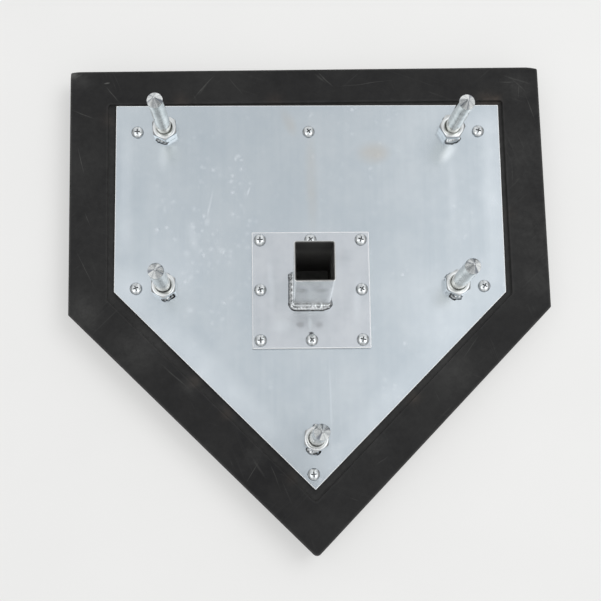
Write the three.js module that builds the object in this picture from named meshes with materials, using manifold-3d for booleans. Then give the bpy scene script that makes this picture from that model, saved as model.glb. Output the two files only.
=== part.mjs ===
// Anchored home plate, lying underside up: a bevelled black rubber slab with a white playing face,
// a plywood core, a galvanised base plate, ground spikes screwed into welded nuts,
// and a square stanchion tube on a plate of its own.
// Millimetres, +Z up. The front edge is at +Y and the point at -Y.
// The origin is on the floor, at the middle of the slab's length and width.
import * as THREE from "three";
import { mergeVertices } from "three/addons/utils/BufferGeometryUtils.js";
import Module from "manifold-3d";

const wasm = await Module();
wasm.setup();

const inch = 25.4;
const degree = Math.PI / 180;

// Gaps between pieces
const fitGap = 0.3; // round a piece that sits in a pocket or against a weld
const holeGap = 0.35; // round a screw in its hole
const threadGap = 0.3; // round a spike in its nut
const overcut = 1; // how far a cutting shape reaches past what it cuts

// Slab and playing face
const faceWidth = 17 * inch; // across the white face
const faceThickness = 4.8;
const faceLip = 1.6; // flat black edge left round the white face
const borderWidth = 25.95; // from the white face out to the slab's widest edge, at the front and sides
const slabLonger = 0.9; // its straight sides run this much further back than an even border would
const bevelHeight = 0.75 * inch; // sloped part of the slab's sides
const rimChamfer = 1.2; // broken edge round the underside
const slabCorner = 5; // corner radius at the widest edge
const faceCorner = 3; // corner radius of the white face
const webThickness = 10.25; // rubber between the white face and the core

// Pocket in the underside, and the core under it
const rimWidth = 38.65; // rubber left beside the pocket
const rimFront = 35.9; // rubber left ahead of the pocket
const pocketCorner = 3;
const coreThickness = 0.75 * inch;
const coreCover = 4.6; // how far the base plate, before its shift, reaches past the core

// Base plate, which was set in its pocket a little askew
const plateThickness = 3.2;
const plateRecess = 0.8; // its top lies this far below the rim
const plateGap = 0.25 * inch; // gap to the pocket's straight sides, before the shift
const plateShort = 2.35; // its straight sides are this much shorter than half its width
const plateCorner = 1;
const plateTipShift = 1.65; // its rear was cut askew, with the point to the right of the middle,
const plateLeftShort = 0.8; // a shorter left side
const plateRightLong = 2.2; // and a longer right side
const plateShift = 1.95;
const plateTurn = -0.516 * degree;
const plateFrontGap = 1.2; // at the front corner that comes nearest to the pocket's wall

// Pan-head screws
const screwDiameter = 0.25 * inch;
const screwCover = 6; // core left under a screw's tip
const screwTip = 3;
const headDiameter = 12.5;
const headHeight = 4;
const headEdge = 1.4; // straight lower part of the head
const recessLength = 7;
const recessWidth = 1.5;
const recessDepth = 2.2;
const screwTurn = 37 * degree; // each screw's recess stopped this much further round than the last

// Screws round the base plate
const screwInset = 22; // from the plate's straight sides
const frontRow = 28.4; // behind the plate's front edge
const rearRow = 3.8; // ahead of the plate's shoulders
const tipScrew = 15; // ahead of the plate's point

// Spikes and the nuts that hold them
const spikeDiameter = 0.6 * inch;
const spikeLength = 4 * inch;
const spikePoint = 8.5; // length of the turned point
const spikeTipWidth = 1.6;
const spikeChamfer = 1.2; // at the screwed-in end
const nutWall = 4.27; // from the thread to a flat
const nutHeight = 13.9;
const nutSink = 1; // countersink at the mouth of the thread
const nutChamfer = 30 * degree;
const nutToScrew = 8.2; // clear space between a nut's corner and the screw beside it
const tipNutToScrew = 14.4; // the same at the point of the plate
const tipSpikeShift = 2.8; // to the right of the plate's middle line
const spikeAhead = 1.6; // the other spikes stand this far ahead of the screws beside them

// Tack welds, two on each nut
const tackLength = 12;
const tackReach = 4;
const tackHeight = 4.5;

// Stanchion: plate, tube and weld
const stanchionSize = 118;
const stanchionThickness = 4.8;
const stanchionCorner = 1;
const stanchionSetback = 193.8; // its middle, behind the base plate's front edge
const stanchionEdge = 8.2; // from its edge to its screws
const tubeSize = 37;
const tubeWall = 1.6;
const tubeLength = 5.25 * inch;
const tubeShiftX = 0.1; // the tube was welded a little off the middle of its plate
const tubeShiftY = 2;
const tubeLean = 2; // how far its open end leans to the left of its foot
const tubeCorner = 2.6; // outside corner radius
const tubeInnerCorner = 0.2; // least corner radius inside
const beadLeg = 3.6; // up the tube
const beadFoot = 4.6; // out over the plate
const beadRipple = 0.3;
const beadRipplePitch = 5;
const beadStub = 11; // length of the bead on the tube's right side

// Facets
const roundSides = 24;
const screwSides = 12;
const domeEdges = [0.3, 0.65]; // how far up the dome of a screw's head its edges lie
const tackSides = 12;
const tackRings = 8;
const cornerSteps = 4;
const beadStep = 3.4;
const beadFacets = 3;
const mergeDistance = 1e-4;

// Sizes that follow from those above
const seatDepth = plateThickness + plateRecess;
const coreFloor = faceThickness + webThickness;
const seatHeight = coreFloor + coreThickness;
const slabHeight = seatHeight + seatDepth;
const screwBite = coreThickness - screwCover;
const spikeRadius = spikeDiameter / 2;
const headRadius = headDiameter / 2;
const nutBore = spikeRadius + threadGap;
const nutFlat = spikeRadius + nutWall;
const nutPoint = overFlats(nutFlat, 6);
const stanchionTop = plateThickness + stanchionThickness;

// Radius to the corners of a regular polygon whose flats lie at a radius.
function overFlats(radius, sides) {
  return radius / Math.cos(Math.PI / sides);
}

// A home plate outline: width, length of the straight sides, and the front edge's place in Y.
function homePlate(width, side, front) {
  return { width, side, front, length: side + width / 2 };
}

// The same outline moved inwards by a distance, or outwards by a negative one.
function inset(plate, by) {
  const side = plate.side - by * (1 + Math.tan(Math.PI / 8));
  return homePlate(plate.width - 2 * by, side, plate.front - by);
}

// Corners of a home plate, anticlockwise from the front right.
function plateCorners({ width, side, front, length }) {
  const half = width / 2;
  return [
    [half, front],
    [-half, front],
    [-half, front - side],
    [0, front - length],
    [half, front - side],
  ].map(([x, y]) => new THREE.Vector2(x, y));
}

function squareCorners(size) {
  const half = size / 2;
  return [
    [half, half],
    [-half, half],
    [-half, -half],
    [half, -half],
  ].map(([x, y]) => new THREE.Vector2(x, y));
}

// A convex anticlockwise outline with each corner as an arc.
function rounded(corners, radius) {
  return corners.flatMap((corner, i) => {
    const before = corners.at(i - 1).clone().sub(corner).normalize();
    const after = corners[(i + 1) % corners.length].clone().sub(corner).normalize();
    const halfAngle = Math.acos(before.dot(after)) / 2;
    const bisector = before.clone().add(after).normalize();
    const centre = corner.clone().addScaledVector(bisector, radius / Math.sin(halfAngle));
    const sweep = Math.PI - 2 * halfAngle;
    const start = bisector.angle() + Math.PI - sweep / 2;
    return Array.from({ length: cornerSteps + 1 }, (_, k) => {
      const angle = start + (sweep * k) / cornerSteps;
      return new THREE.Vector2(radius, 0).rotateAround(new THREE.Vector2(), angle).add(centre);
    });
  });
}

const atHeight = (outline, z) => outline.map((p) => new THREE.Vector3(p.x, p.y, z));

// A closed body through rings of as many points each, with flat convex ends.
function loft(rings) {
  const count = rings[0].length;
  const last = (rings.length - 1) * count;
  const index = [];
  for (let ring = 0; ring < last; ring += count) {
    for (let i = 0; i < count; i++) {
      const a = ring + i;
      const b = ring + ((i + 1) % count);
      index.push(a, b, b + count, a, b + count, a + count);
    }
  }
  for (let i = 1; i < count - 1; i++) {
    index.push(0, i + 1, i, last, last + i, last + i + 1);
  }
  return new THREE.BufferGeometry().setFromPoints(rings.flat()).setIndex(index);
}

// An upright prism. Its two heights are kept exact, so that flat faces which touch share one height.
const prism = (outline, low, high) => loft([atHeight(outline, low), atHeight(outline, high)]);

// A body turned about Z from [radius, height] points.
function turned(profile, sides) {
  const points = profile.map(([r, z]) => new THREE.Vector2(r, z));
  return new THREE.LatheGeometry(points, sides).rotateX(Math.PI / 2);
}

// An upright rod, cone or regular prism whose first corner points to -Y.
function rod(topRadius, lowRadius, low, high, sides) {
  const middle = (low + high) / 2;
  return new THREE.CylinderGeometry(topRadius, lowRadius, high - low, sides)
    .rotateX(Math.PI / 2)
    .translate(0, 0, middle);
}

// Closed geometry as a solid for joining and cutting.
function solid(geometry) {
  const bare = geometry.clone();
  bare.deleteAttribute("normal");
  bare.deleteAttribute("uv");
  const merged = mergeVertices(bare, mergeDistance);
  const vertProperties = new Float32Array(merged.attributes.position.array);
  const triVerts = new Uint32Array(merged.index.array);
  return new wasm.Manifold(new wasm.Mesh({ numProp: 3, vertProperties, triVerts }));
}

const cutAll = (body, tools) => tools.reduce((left, tool) => left.subtract(tool), body);

function shapeOf(body) {
  const { vertProperties, triVerts } = body.getMesh();
  const shape = new THREE.BufferGeometry();
  shape.setAttribute("position", new THREE.BufferAttribute(vertProperties, 3));
  shape.setIndex(new THREE.BufferAttribute(triVerts, 1));
  const flat = shape.toNonIndexed();
  flat.computeVertexNormals();
  return flat;
}

const finishes = {
  blackRubber: { color: 0x343434, roughness: 0.8, metalness: 0 },
  whiteRubber: { color: 0xe9e8e2, roughness: 0.6, metalness: 0 },
  plywood: { color: 0xb98f5c, roughness: 0.75, metalness: 0 },
  galvanisedSheet: { color: 0xc3cad2, roughness: 0.4, metalness: 0.9 },
  zincHardware: { color: 0xc9cccd, roughness: 0.3, metalness: 1 },
  weldMetal: { color: 0x8d9194, roughness: 0.45, metalness: 1 },
};

function piece(name, body, finish) {
  const mesh = new THREE.Mesh(shapeOf(body), new THREE.MeshStandardMaterial(finishes[finish]));
  mesh.name = name;
  return mesh;
}

// Rubber slab: the outline grows from the playing face up the bevel, and the underside holds the pocket.
const facePlate = homePlate(faceWidth, faceWidth / 2, 0);
const slabSide = inset(facePlate, -borderWidth).side + slabLonger;
const slabWidth = faceWidth + 2 * borderWidth;
const slabLength = slabSide + slabWidth / 2 - slabCorner * (Math.SQRT2 - 1);
const slabPlate = homePlate(slabWidth, slabSide, slabLength / 2);
const face = homePlate(faceWidth, faceWidth / 2, slabPlate.front - borderWidth);

const pocketWidth = slabWidth - 2 * rimWidth;
const pocket = homePlate(pocketWidth, pocketWidth / 2, slabPlate.front - rimFront);
const core = inset(pocket, plateGap + coreCover);

function makeSlab() {
  const lowEdge = rounded(plateCorners(inset(face, -faceLip)), faceCorner + faceLip);
  const wideEdge = rounded(plateCorners(slabPlate), slabCorner);
  const topEdge = rounded(plateCorners(inset(slabPlate, rimChamfer)), slabCorner - rimChamfer);
  const body = loft([
    atHeight(lowEdge, 0),
    atHeight(wideEdge, bevelHeight),
    atHeight(wideEdge, slabHeight - rimChamfer),
    atHeight(topEdge, slabHeight),
  ]);
  const faceCut = rounded(plateCorners(inset(face, -fitGap)), faceCorner + fitGap);
  const pocketCut = rounded(plateCorners(pocket), pocketCorner);
  const coreCut = rounded(plateCorners(inset(core, -fitGap)), pocketCorner + fitGap);
  return cutAll(solid(body), [
    solid(prism(faceCut, -faceThickness, faceThickness)),
    solid(prism(pocketCut, seatHeight, slabHeight + seatDepth)),
    solid(prism(coreCut, coreFloor, slabHeight)),
  ]);
}

function makeFace() {
  return solid(prism(rounded(plateCorners(face), faceCorner), 0, faceThickness));
}

// Base plate in its own frame: front edge on the X axis, underside at z = 0.
const plateWidth = pocketWidth - 2 * plateGap;
const basePlate = homePlate(plateWidth, plateWidth / 2 - plateShort, 0);
const turnRise = (plateWidth / 2) * Math.sin(Math.abs(plateTurn));

const steelwork = new THREE.Group();
steelwork.position.set(plateShift, pocket.front - plateFrontGap - turnRise, seatHeight);
steelwork.rotation.z = plateTurn;
steelwork.updateMatrix();

// Places on the base plate
const screwX = plateWidth / 2 - screwInset;
const spikeX = screwX - headRadius - nutToScrew - nutPoint;
const rearY = rearRow - basePlate.side;
const tipY = tipScrew - basePlate.length;
const plateScrews = {
  front_left: [-screwX, -frontRow],
  front_middle: [0, -frontRow],
  front_right: [screwX, -frontRow],
  rear_left: [-screwX, rearY],
  rear_right: [screwX, rearY],
  tip: [0, tipY],
};
const frontSpikeY = spikeAhead - frontRow;
const rearSpikeY = spikeAhead + rearY;
const tipSpikeY = tipY + headRadius + tipNutToScrew + nutPoint;
const spikes = [
  { name: "front_left", at: [-spikeX, frontSpikeY], nutTurn: 4, tacks: [-101, 63] },
  { name: "front_right", at: [spikeX, frontSpikeY], nutTurn: 30, tacks: [-81, 106] },
  { name: "rear_left", at: [-spikeX, rearSpikeY], nutTurn: 0, tacks: [-70, 84] },
  { name: "rear_right", at: [spikeX, rearSpikeY], nutTurn: 2, tacks: [-94, 135] },
  { name: "tip", at: [tipSpikeShift, tipSpikeY], nutTurn: -3, tacks: [-103, 79] },
];
const screwPitch = stanchionSize / 2 - stanchionEdge;
const stanchionScrews = [1, 0, -1]
  .flatMap((row) => [-1, 0, 1].map((column) => [column * screwPitch, row * screwPitch]))
  .filter(([x, y]) => x || y)
  .map(([x, y]) => [x, y - stanchionSetback]);

// A hole for a screw, cut right through a sheet that lies between two heights.
function screwHole([x, y], low, high) {
  const radius = overFlats(screwDiameter / 2 + holeGap, screwSides);
  return solid(rod(radius, radius, low - overcut, high + overcut, screwSides).translate(x, y, 0));
}

const allScrews = [...Object.values(plateScrews), ...stanchionScrews];

function makeBasePlate() {
  const corners = plateCorners(basePlate);
  corners[2].y += plateLeftShort;
  corners[3].x += plateTipShift;
  corners[4].y -= plateRightLong;
  const sheet = solid(prism(rounded(corners, plateCorner), 0, plateThickness));
  return cutAll(
    sheet,
    allScrews.map((at) => screwHole(at, 0, plateThickness)),
  );
}

function makeCore() {
  const board = solid(prism(rounded(plateCorners(core), pocketCorner), coreFloor, seatHeight));
  const holes = allScrews.map(([x, y]) => {
    const at = new THREE.Vector3(x, y, 0).applyMatrix4(steelwork.matrix);
    return screwHole([at.x, at.y], coreFloor, seatHeight);
  });
  return cutAll(board, holes);
}

// Pan-head screw with a cross recess, its head's underside at z = 0.
function makeScrew(length) {
  const shank = screwDiameter / 2;
  const flatTop = recessLength / 2;
  const dome = domeEdges.map((t) => [
    headRadius * Math.sqrt(1 - t ** 2),
    headEdge + (headHeight - headEdge) * t,
  ]);
  const body = turned(
    [
      [0, -length],
      [shank, screwTip - length],
      [shank, 0],
      [headRadius, 0],
      [headRadius, headEdge],
      ...dome,
      [flatTop, headHeight],
      [0, headHeight],
    ],
    screwSides,
  );
  const slots = [0, Math.PI / 2].map((angle) => {
    const slot = new THREE.BoxGeometry(recessLength, recessWidth, 2 * recessDepth);
    return solid(slot.rotateZ(angle).translate(0, 0, headHeight));
  });
  return cutAll(solid(body), slots);
}

const hexagon = (flat, low, high) => rod(overFlats(flat, 6), overFlats(flat, 6), low, high, 6);

// Hexagon nut with its upper corners chamfered.
function makeNut() {
  const outside = nutPoint + overcut;
  const edge = nutHeight - (outside - nutFlat) * Math.tan(nutChamfer);
  const cone = turned(
    [
      [0, 0],
      [outside, 0],
      [outside, edge],
      [nutFlat, nutHeight],
      [0, nutHeight],
    ],
    roundSides,
  );
  const hole = overFlats(nutBore, roundSides);
  const bore = rod(hole, hole, -overcut, nutHeight + overcut, roundSides);
  const sink = rod(hole + 2 * nutSink, hole, nutHeight - nutSink, nutHeight + nutSink, roundSides);
  return cutAll(solid(hexagon(nutFlat, 0, nutHeight)).intersect(solid(cone)), [solid(bore), solid(sink)]);
}

// Round spike with a turned point.
function makeSpike() {
  const shape = turned(
    [
      [0, 0],
      [spikeRadius - spikeChamfer, 0],
      [spikeRadius, spikeChamfer],
      [spikeRadius, spikeLength - spikePoint],
      [spikeTipWidth / 2, spikeLength],
      [0, spikeLength],
    ],
    roundSides,
  );
  return solid(shape);
}

// Tack weld on a nut's side at an angle, in the nut's own frame, sitting on the plate.
function makeTack(angle, nutTurn) {
  const fromFlat = THREE.MathUtils.euclideanModulo(angle - nutTurn + 30 * degree, 60 * degree) - 30 * degree;
  const reach = nutFlat / Math.cos(fromFlat);
  const lump = new THREE.SphereGeometry(1, tackSides, tackRings)
    .scale(tackReach, tackLength / 2, tackHeight)
    .translate(reach, 0, 0)
    .rotateZ(angle);
  const room = 2 * (reach + tackReach + tackLength);
  const above = new THREE.BoxGeometry(room, room, tackHeight).translate(0, 0, tackHeight / 2);
  const nutSpace = hexagon(nutFlat + fitGap, -overcut, tackHeight + overcut).rotateZ(nutTurn);
  return solid(lump).intersect(solid(above)).subtract(solid(nutSpace));
}

function makeStanchionPlate() {
  const sheet = prism(rounded(squareCorners(stanchionSize), stanchionCorner), plateThickness, stanchionTop);
  return cutAll(
    solid(sheet),
    stanchionScrews.map(([x, y]) => screwHole([x, y + stanchionSetback], plateThickness, stanchionTop)),
  );
}

// Square tube whose foot and open end lie flat, although it leans.
function makeTube() {
  const outside = rounded(squareCorners(tubeSize), tubeCorner);
  const innerCorner = Math.max(tubeCorner - tubeWall, tubeInnerCorner);
  const inside = rounded(squareCorners(tubeSize - 2 * tubeWall), innerCorner);
  const lean = new THREE.Matrix4().makeShear(0, 0, 0, 0, -tubeLean / tubeLength, 0);
  const upright = solid(prism(outside, 0, tubeLength)).subtract(
    solid(prism(inside, -overcut, tubeLength + overcut)),
  );
  return upright.transform(lean.elements);
}

// Fillet weld along the tube's left and front sides and a little way up its right side.
function makeTubeWeld() {
  const half = tubeSize / 2 + fitGap;
  const turn = tubeCorner + fitGap;
  const flat = half - turn;
  const line = (x0, y0, x1, y1) => new THREE.LineCurve(new THREE.Vector2(x0, y0), new THREE.Vector2(x1, y1));
  const arc = (x, y, from) => new THREE.EllipseCurve(x, y, turn, turn, from, from + Math.PI / 2);
  const runs = [
    line(-half, flat, -half, -flat),
    arc(-flat, -flat, Math.PI),
    line(-flat, -half, flat, -half),
    arc(flat, -flat, 1.5 * Math.PI),
    line(half, -flat, half, beadStub - flat),
  ];

  // The bead's quarter-round section, standing out from the tube at one place along it.
  function section(at, along, distance) {
    const ripple = beadRipple * Math.sin((2 * Math.PI * distance) / beadRipplePitch);
    const outer = Array.from({ length: beadFacets + 1 }, (_, k) => {
      const angle = (k * Math.PI) / 2 / beadFacets;
      return [(beadFoot + ripple) * Math.sin(angle), (beadLeg + ripple) * Math.cos(angle)];
    });
    return [[0, 0], ...outer].map(
      ([out, z]) => new THREE.Vector3(at.x + along.y * out, at.y - along.x * out, z),
    );
  }

  const rings = [];
  let done = 0;
  for (const run of runs) {
    const length = run.getLength();
    const steps = Math.max(cornerSteps, Math.ceil(length / beadStep));
    for (let k = rings.length ? 1 : 0; k <= steps; k++) {
      const u = k / steps;
      rings.push(section(run.getPointAt(u), run.getTangentAt(u), done + u * length));
    }
    done += length;
  }
  return solid(loft(rings));
}

// Assembly
const homePlateBase = new THREE.Group();
homePlateBase.add(piece("rubber_slab", makeSlab(), "blackRubber"));
homePlateBase.add(piece("white_face", makeFace(), "whiteRubber"));
homePlateBase.add(piece("core_board", makeCore(), "plywood"));
homePlateBase.add(steelwork);

function place(mesh, [x, y], z, turn = 0) {
  mesh.position.set(x, y, z);
  mesh.rotation.z = turn;
  return mesh;
}

steelwork.add(piece("base_plate", makeBasePlate(), "galvanisedSheet"));

const plateScrew = makeScrew(plateThickness + screwBite);
Object.entries(plateScrews).forEach(([name, at], i) => {
  const screw = piece("perimeter_screw_" + name, plateScrew, "zincHardware");
  steelwork.add(place(screw, at, plateThickness, i * screwTurn));
});

const nut = makeNut();
const spike = makeSpike();
for (const { name, at, nutTurn, tacks } of spikes) {
  steelwork.add(place(piece("spike_nut_" + name, nut, "zincHardware"), at, plateThickness, nutTurn * degree));
  tacks.forEach((angle, i) => {
    const tack = makeTack(angle * degree, nutTurn * degree);
    steelwork.add(place(piece("nut_weld_" + name + "_" + "ab"[i], tack, "weldMetal"), at, plateThickness));
  });
  steelwork.add(place(piece("spike_" + name, spike, "zincHardware"), at, plateThickness));
}

const stanchionAt = [0, -stanchionSetback];
const tubeAt = [tubeShiftX, tubeShiftY - stanchionSetback];
steelwork.add(place(piece("stanchion_plate", makeStanchionPlate(), "galvanisedSheet"), stanchionAt, 0));
steelwork.add(place(piece("stanchion_tube", makeTube(), "galvanisedSheet"), tubeAt, stanchionTop));
steelwork.add(place(piece("tube_weld", makeTubeWeld(), "weldMetal"), tubeAt, stanchionTop));

const stanchionScrew = makeScrew(stanchionTop + screwBite);
stanchionScrews.forEach((at, i) => {
  const screw = piece("stanchion_screw_" + (i + 1), stanchionScrew, "zincHardware");
  steelwork.add(place(screw, at, stanchionTop, i * screwTurn));
});

export default homePlateBase;
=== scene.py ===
import math
import bmesh
import bpy
from mathutils import Matrix, Vector, noise


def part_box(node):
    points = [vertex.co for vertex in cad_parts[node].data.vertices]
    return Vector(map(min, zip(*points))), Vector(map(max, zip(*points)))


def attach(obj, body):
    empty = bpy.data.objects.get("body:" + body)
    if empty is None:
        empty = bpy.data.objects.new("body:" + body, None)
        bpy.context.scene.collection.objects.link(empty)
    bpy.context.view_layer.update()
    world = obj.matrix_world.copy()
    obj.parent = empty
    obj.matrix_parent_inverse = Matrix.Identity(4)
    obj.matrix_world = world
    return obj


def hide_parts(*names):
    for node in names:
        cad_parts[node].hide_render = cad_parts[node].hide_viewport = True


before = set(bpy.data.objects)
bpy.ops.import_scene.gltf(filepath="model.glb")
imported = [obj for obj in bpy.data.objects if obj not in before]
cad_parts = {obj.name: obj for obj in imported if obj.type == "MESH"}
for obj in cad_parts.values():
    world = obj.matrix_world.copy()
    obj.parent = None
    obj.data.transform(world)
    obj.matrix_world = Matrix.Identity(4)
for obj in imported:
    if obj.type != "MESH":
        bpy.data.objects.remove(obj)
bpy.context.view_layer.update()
print("frame:", len(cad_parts), "CAD nodes")

mm = 0.001
scene = bpy.context.scene


# sRGB hex to linear colour
def linear(hexColour):
    parts = [int(hexColour[i:i + 2], 16) / 255 for i in (1, 3, 5)]
    return tuple(c / 12.92 if c <= 0.04045 else ((c + 0.055) / 1.055) ** 2.4 for c in parts) + (1.0,)


def grey(level):
    return (level, level, level, 1.0)


# texture scale for a feature of this many millimetres, on coordinates in metres
def perMetre(size):
    return 1000 / size


# where a link starts: a socket, or a node's first output
def socketOf(source):
    return source.outputs[0] if isinstance(source, bpy.types.Node) else source


# adds one node: settings go to its options or sockets, links to its sockets, a lone link to the first one
def addNode(tree, kind, settings=None, links=None):
    made = tree.nodes.new("ShaderNode" + kind)
    for key, value in (settings or {}).items():
        if key == "ramp":
            stops = made.color_ramp.elements
            shades = [(at, linear(shade) if isinstance(shade, str) else grey(shade)) for at, shade in value]
            (stops[0].position, stops[0].color), (stops[1].position, stops[1].color) = shades[0], shades[-1]
            for at, shade in shades[1:-1]:
                stops.new(at).color = shade
        elif isinstance(key, int) or key in made.inputs:
            made.inputs[key].default_value = value
        else:
            setattr(made, key, value)
    if links is not None and not isinstance(links, dict):
        links = {0: links}
    for key, source in (links or {}).items():
        tree.links.new(socketOf(source), made.inputs[key])
    return made


# a new material's node tree, its surface shader and its coordinates in metres
def startMaterial(name, settings):
    material = bpy.data.materials.new(name)
    material.use_nodes = True
    tree = material.node_tree
    tree.nodes.clear()
    shader = addNode(tree, "BsdfPrincipled", settings)
    addNode(tree, "OutputMaterial", links=shader)
    place = addNode(tree, "TexCoord").outputs["Object"]
    return material, tree, shader, place


# joins a colour to a surface shader, and where they are given a bump, as strength and depth in millimetres,
# and a roughness that a pattern spreads from one value to another
def dressShader(tree, shader, colour, height=None, bump=None, pattern=None, roughness=None, invert=False):
    tree.links.new(socketOf(colour), shader.inputs["Base Color"])
    if pattern is not None:
        rough = addNode(tree, "MapRange", {"To Min": roughness[0], "To Max": roughness[1]}, pattern)
        tree.links.new(rough.outputs[0], shader.inputs["Roughness"])
    if height is not None:
        relief = addNode(tree, "Bump", {"Strength": bump[0], "Distance": bump[1] * mm, "invert": invert},
                         {"Height": height})
        tree.links.new(relief.outputs[0], shader.inputs["Normal"])


# strength of a soft-edged mark: most at its middle, fading from a share of the way out
def softMark(tree, place, at, size, most, turn=0.0, fadeFrom=0.1, fade="SMOOTHSTEP", unit=mm):
    spot = addNode(tree, "Mapping", {"vector_type": "TEXTURE", "Location": tuple(v * unit for v in at),
                                     "Rotation": (0.0, 0.0, turn), "Scale": tuple(v * unit for v in size)},
                   place)
    far = addNode(tree, "VectorMath", {"operation": "LENGTH"}, spot)
    return addNode(tree, "MapRange", {"interpolation_type": fade, "From Min": fadeFrom, "From Max": 1.0,
                                      "To Min": most, "To Max": 0.0}, far.outputs["Value"])


# lays a shade over a colour where a mark is, broken up by a pattern
def stainOver(tree, colour, shade, mark, pattern):
    amount = addNode(tree, "Math", {"operation": "MULTIPLY"}, {0: mark, 1: pattern})
    return addNode(tree, "Mix", {"data_type": "RGBA", 7: linear(shade)}, {0: amount, 6: colour}).outputs[2]


# outlines and lofts, in millimetres

def plateCorners(plate, by=0.0):
    width, side, front = plate
    half = width / 2 - by
    side = side - by * (1 + math.tan(math.pi / 8))
    front = front - by
    rear = front - side
    return [(half, front), (-half, front), (-half, rear), (0, rear - half), (half, rear)]


def squareCorners(size):
    half = size / 2
    return [(half, half), (-half, half), (-half, -half), (half, -half)]


# a convex outline with its corners as arcs and its sides cut into steps
def outline(corners, radius, arcSteps=8, sideSteps=1, shares=(1.0,), least=0.15):
    arcs = []
    for i, corner in enumerate(corners):
        at = Vector(corner)
        bend = max(radius * shares[i % len(shares)], least)
        before = (Vector(corners[i - 1]) - at).normalized()
        after = (Vector(corners[(i + 1) % len(corners)]) - at).normalized()
        half = before.angle(after) / 2
        bisector = (before + after).normalized()
        centre = at + bisector * (bend / math.sin(half))
        sweep = math.pi - 2 * half
        start = math.atan2(bisector.y, bisector.x) + math.pi - sweep / 2
        turns = [start + sweep * k / arcSteps for k in range(arcSteps + 1)]
        arcs.append([centre + Vector((math.cos(a), math.sin(a))) * bend for a in turns])
    points = []
    for i, arc in enumerate(arcs):
        onward = arcs[(i + 1) % len(arcs)][0]
        points += arc
        points += [arc[-1].lerp(onward, k / sideSteps) for k in range(1, sideSteps)]
    return points


def circle(radius, count, at=(0, 0)):
    turns = [2 * math.pi * k / count for k in range(count)]
    return [Vector((at[0] + radius * math.cos(a), at[1] + radius * math.sin(a))) for a in turns]


def atHeight(points, z):
    return [Vector((p.x, p.y, z)) for p in points]


# angles of a quarter round
def quarterTurn(steps):
    return [math.pi / 2 * k / steps for k in range(steps + 1)]


# a ring about the upright axis; its radius and height are numbers or depend on the turn
def turnedRing(count, radius, z):
    points = []
    for k in range(count):
        a = 2 * math.pi * k / count
        far = radius(a) if callable(radius) else radius
        points.append(Vector((far * math.cos(a), far * math.sin(a), z(a) if callable(z) else z)))
    return points


# walls through rings of as many points each, closed at the ends or joined up into a ring of rings
def loft(rings, joined=False):
    count = len(rings[0])
    verts = [p for ring in rings for p in ring]
    faces = []
    for r in range(len(rings) if joined else len(rings) - 1):
        here, there = r * count, (r + 1) % len(rings) * count
        for i in range(count):
            j = (i + 1) % count
            faces.append((here + i, here + j, there + j, there + i))
    if not joined:
        faces.append(tuple(reversed(range(count))))
        faces.append(tuple(range(len(verts) - count, len(verts))))
    return verts, faces


# smooth shading but for edges sharper than an angle in degrees
def shadeSmooth(mesh, sharp):
    mesh.shade_smooth()
    mesh.set_sharp_from_angle(angle=math.radians(sharp))


# a mesh from millimetres; pick gives a face's finish from its middle and its normal
def makeMesh(name, verts, faces, finishes, sharp=38, pick=None):
    mesh = bpy.data.meshes.new(name)
    mesh.from_pydata([Vector(v) * mm for v in verts], [], faces)
    for finish in finishes:
        mesh.materials.append(finish)
    if pick:
        for face in mesh.polygons:
            face.material_index = pick(Vector(face.center) / mm, Vector(face.normal))
    shadeSmooth(mesh, sharp)
    return mesh


# one number for each point of a mesh, for a material to read
def paint(mesh, name, values):
    mesh.attributes.new(name, "FLOAT", "POINT").data.foreach_set("value", values)


# puts a mesh in the scene, in place of a CAD node and riding on its body
def addPiece(name, mesh, place, body, node):
    piece = bpy.data.objects.new(name, mesh)
    scene.collection.objects.link(piece)
    piece.matrix_world = place
    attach(piece, body)
    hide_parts(node)


def middleOf(node):
    low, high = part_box(node)
    return (low + high) / 2


# the steelwork sits a little askew in its pocket: where its front edge's middle is, and degrees
seating = {"at": (1.95, 207.7661, 34.1), "turn": -0.516}
plateTop, anchorTop = 37.3, 42.1  # heights of the upper sides of the base plate and the stanchion plate
upright = Matrix.Identity(4)
steelTurn = Matrix.Rotation(math.radians(seating["turn"]), 4, "Z")
steelwork = Matrix.Translation(Vector(seating["at"]) * mm) @ steelTurn


# on the steelwork: a CAD node's middle, at the height of its foot
def standingOn(node, foot, turn=0.0):
    at = middleOf(node)
    at.z = foot * mm
    return Matrix.Translation(at) @ Matrix.Rotation(math.radians(seating["turn"] + turn), 4, "Z")


# Rubber slab

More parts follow.
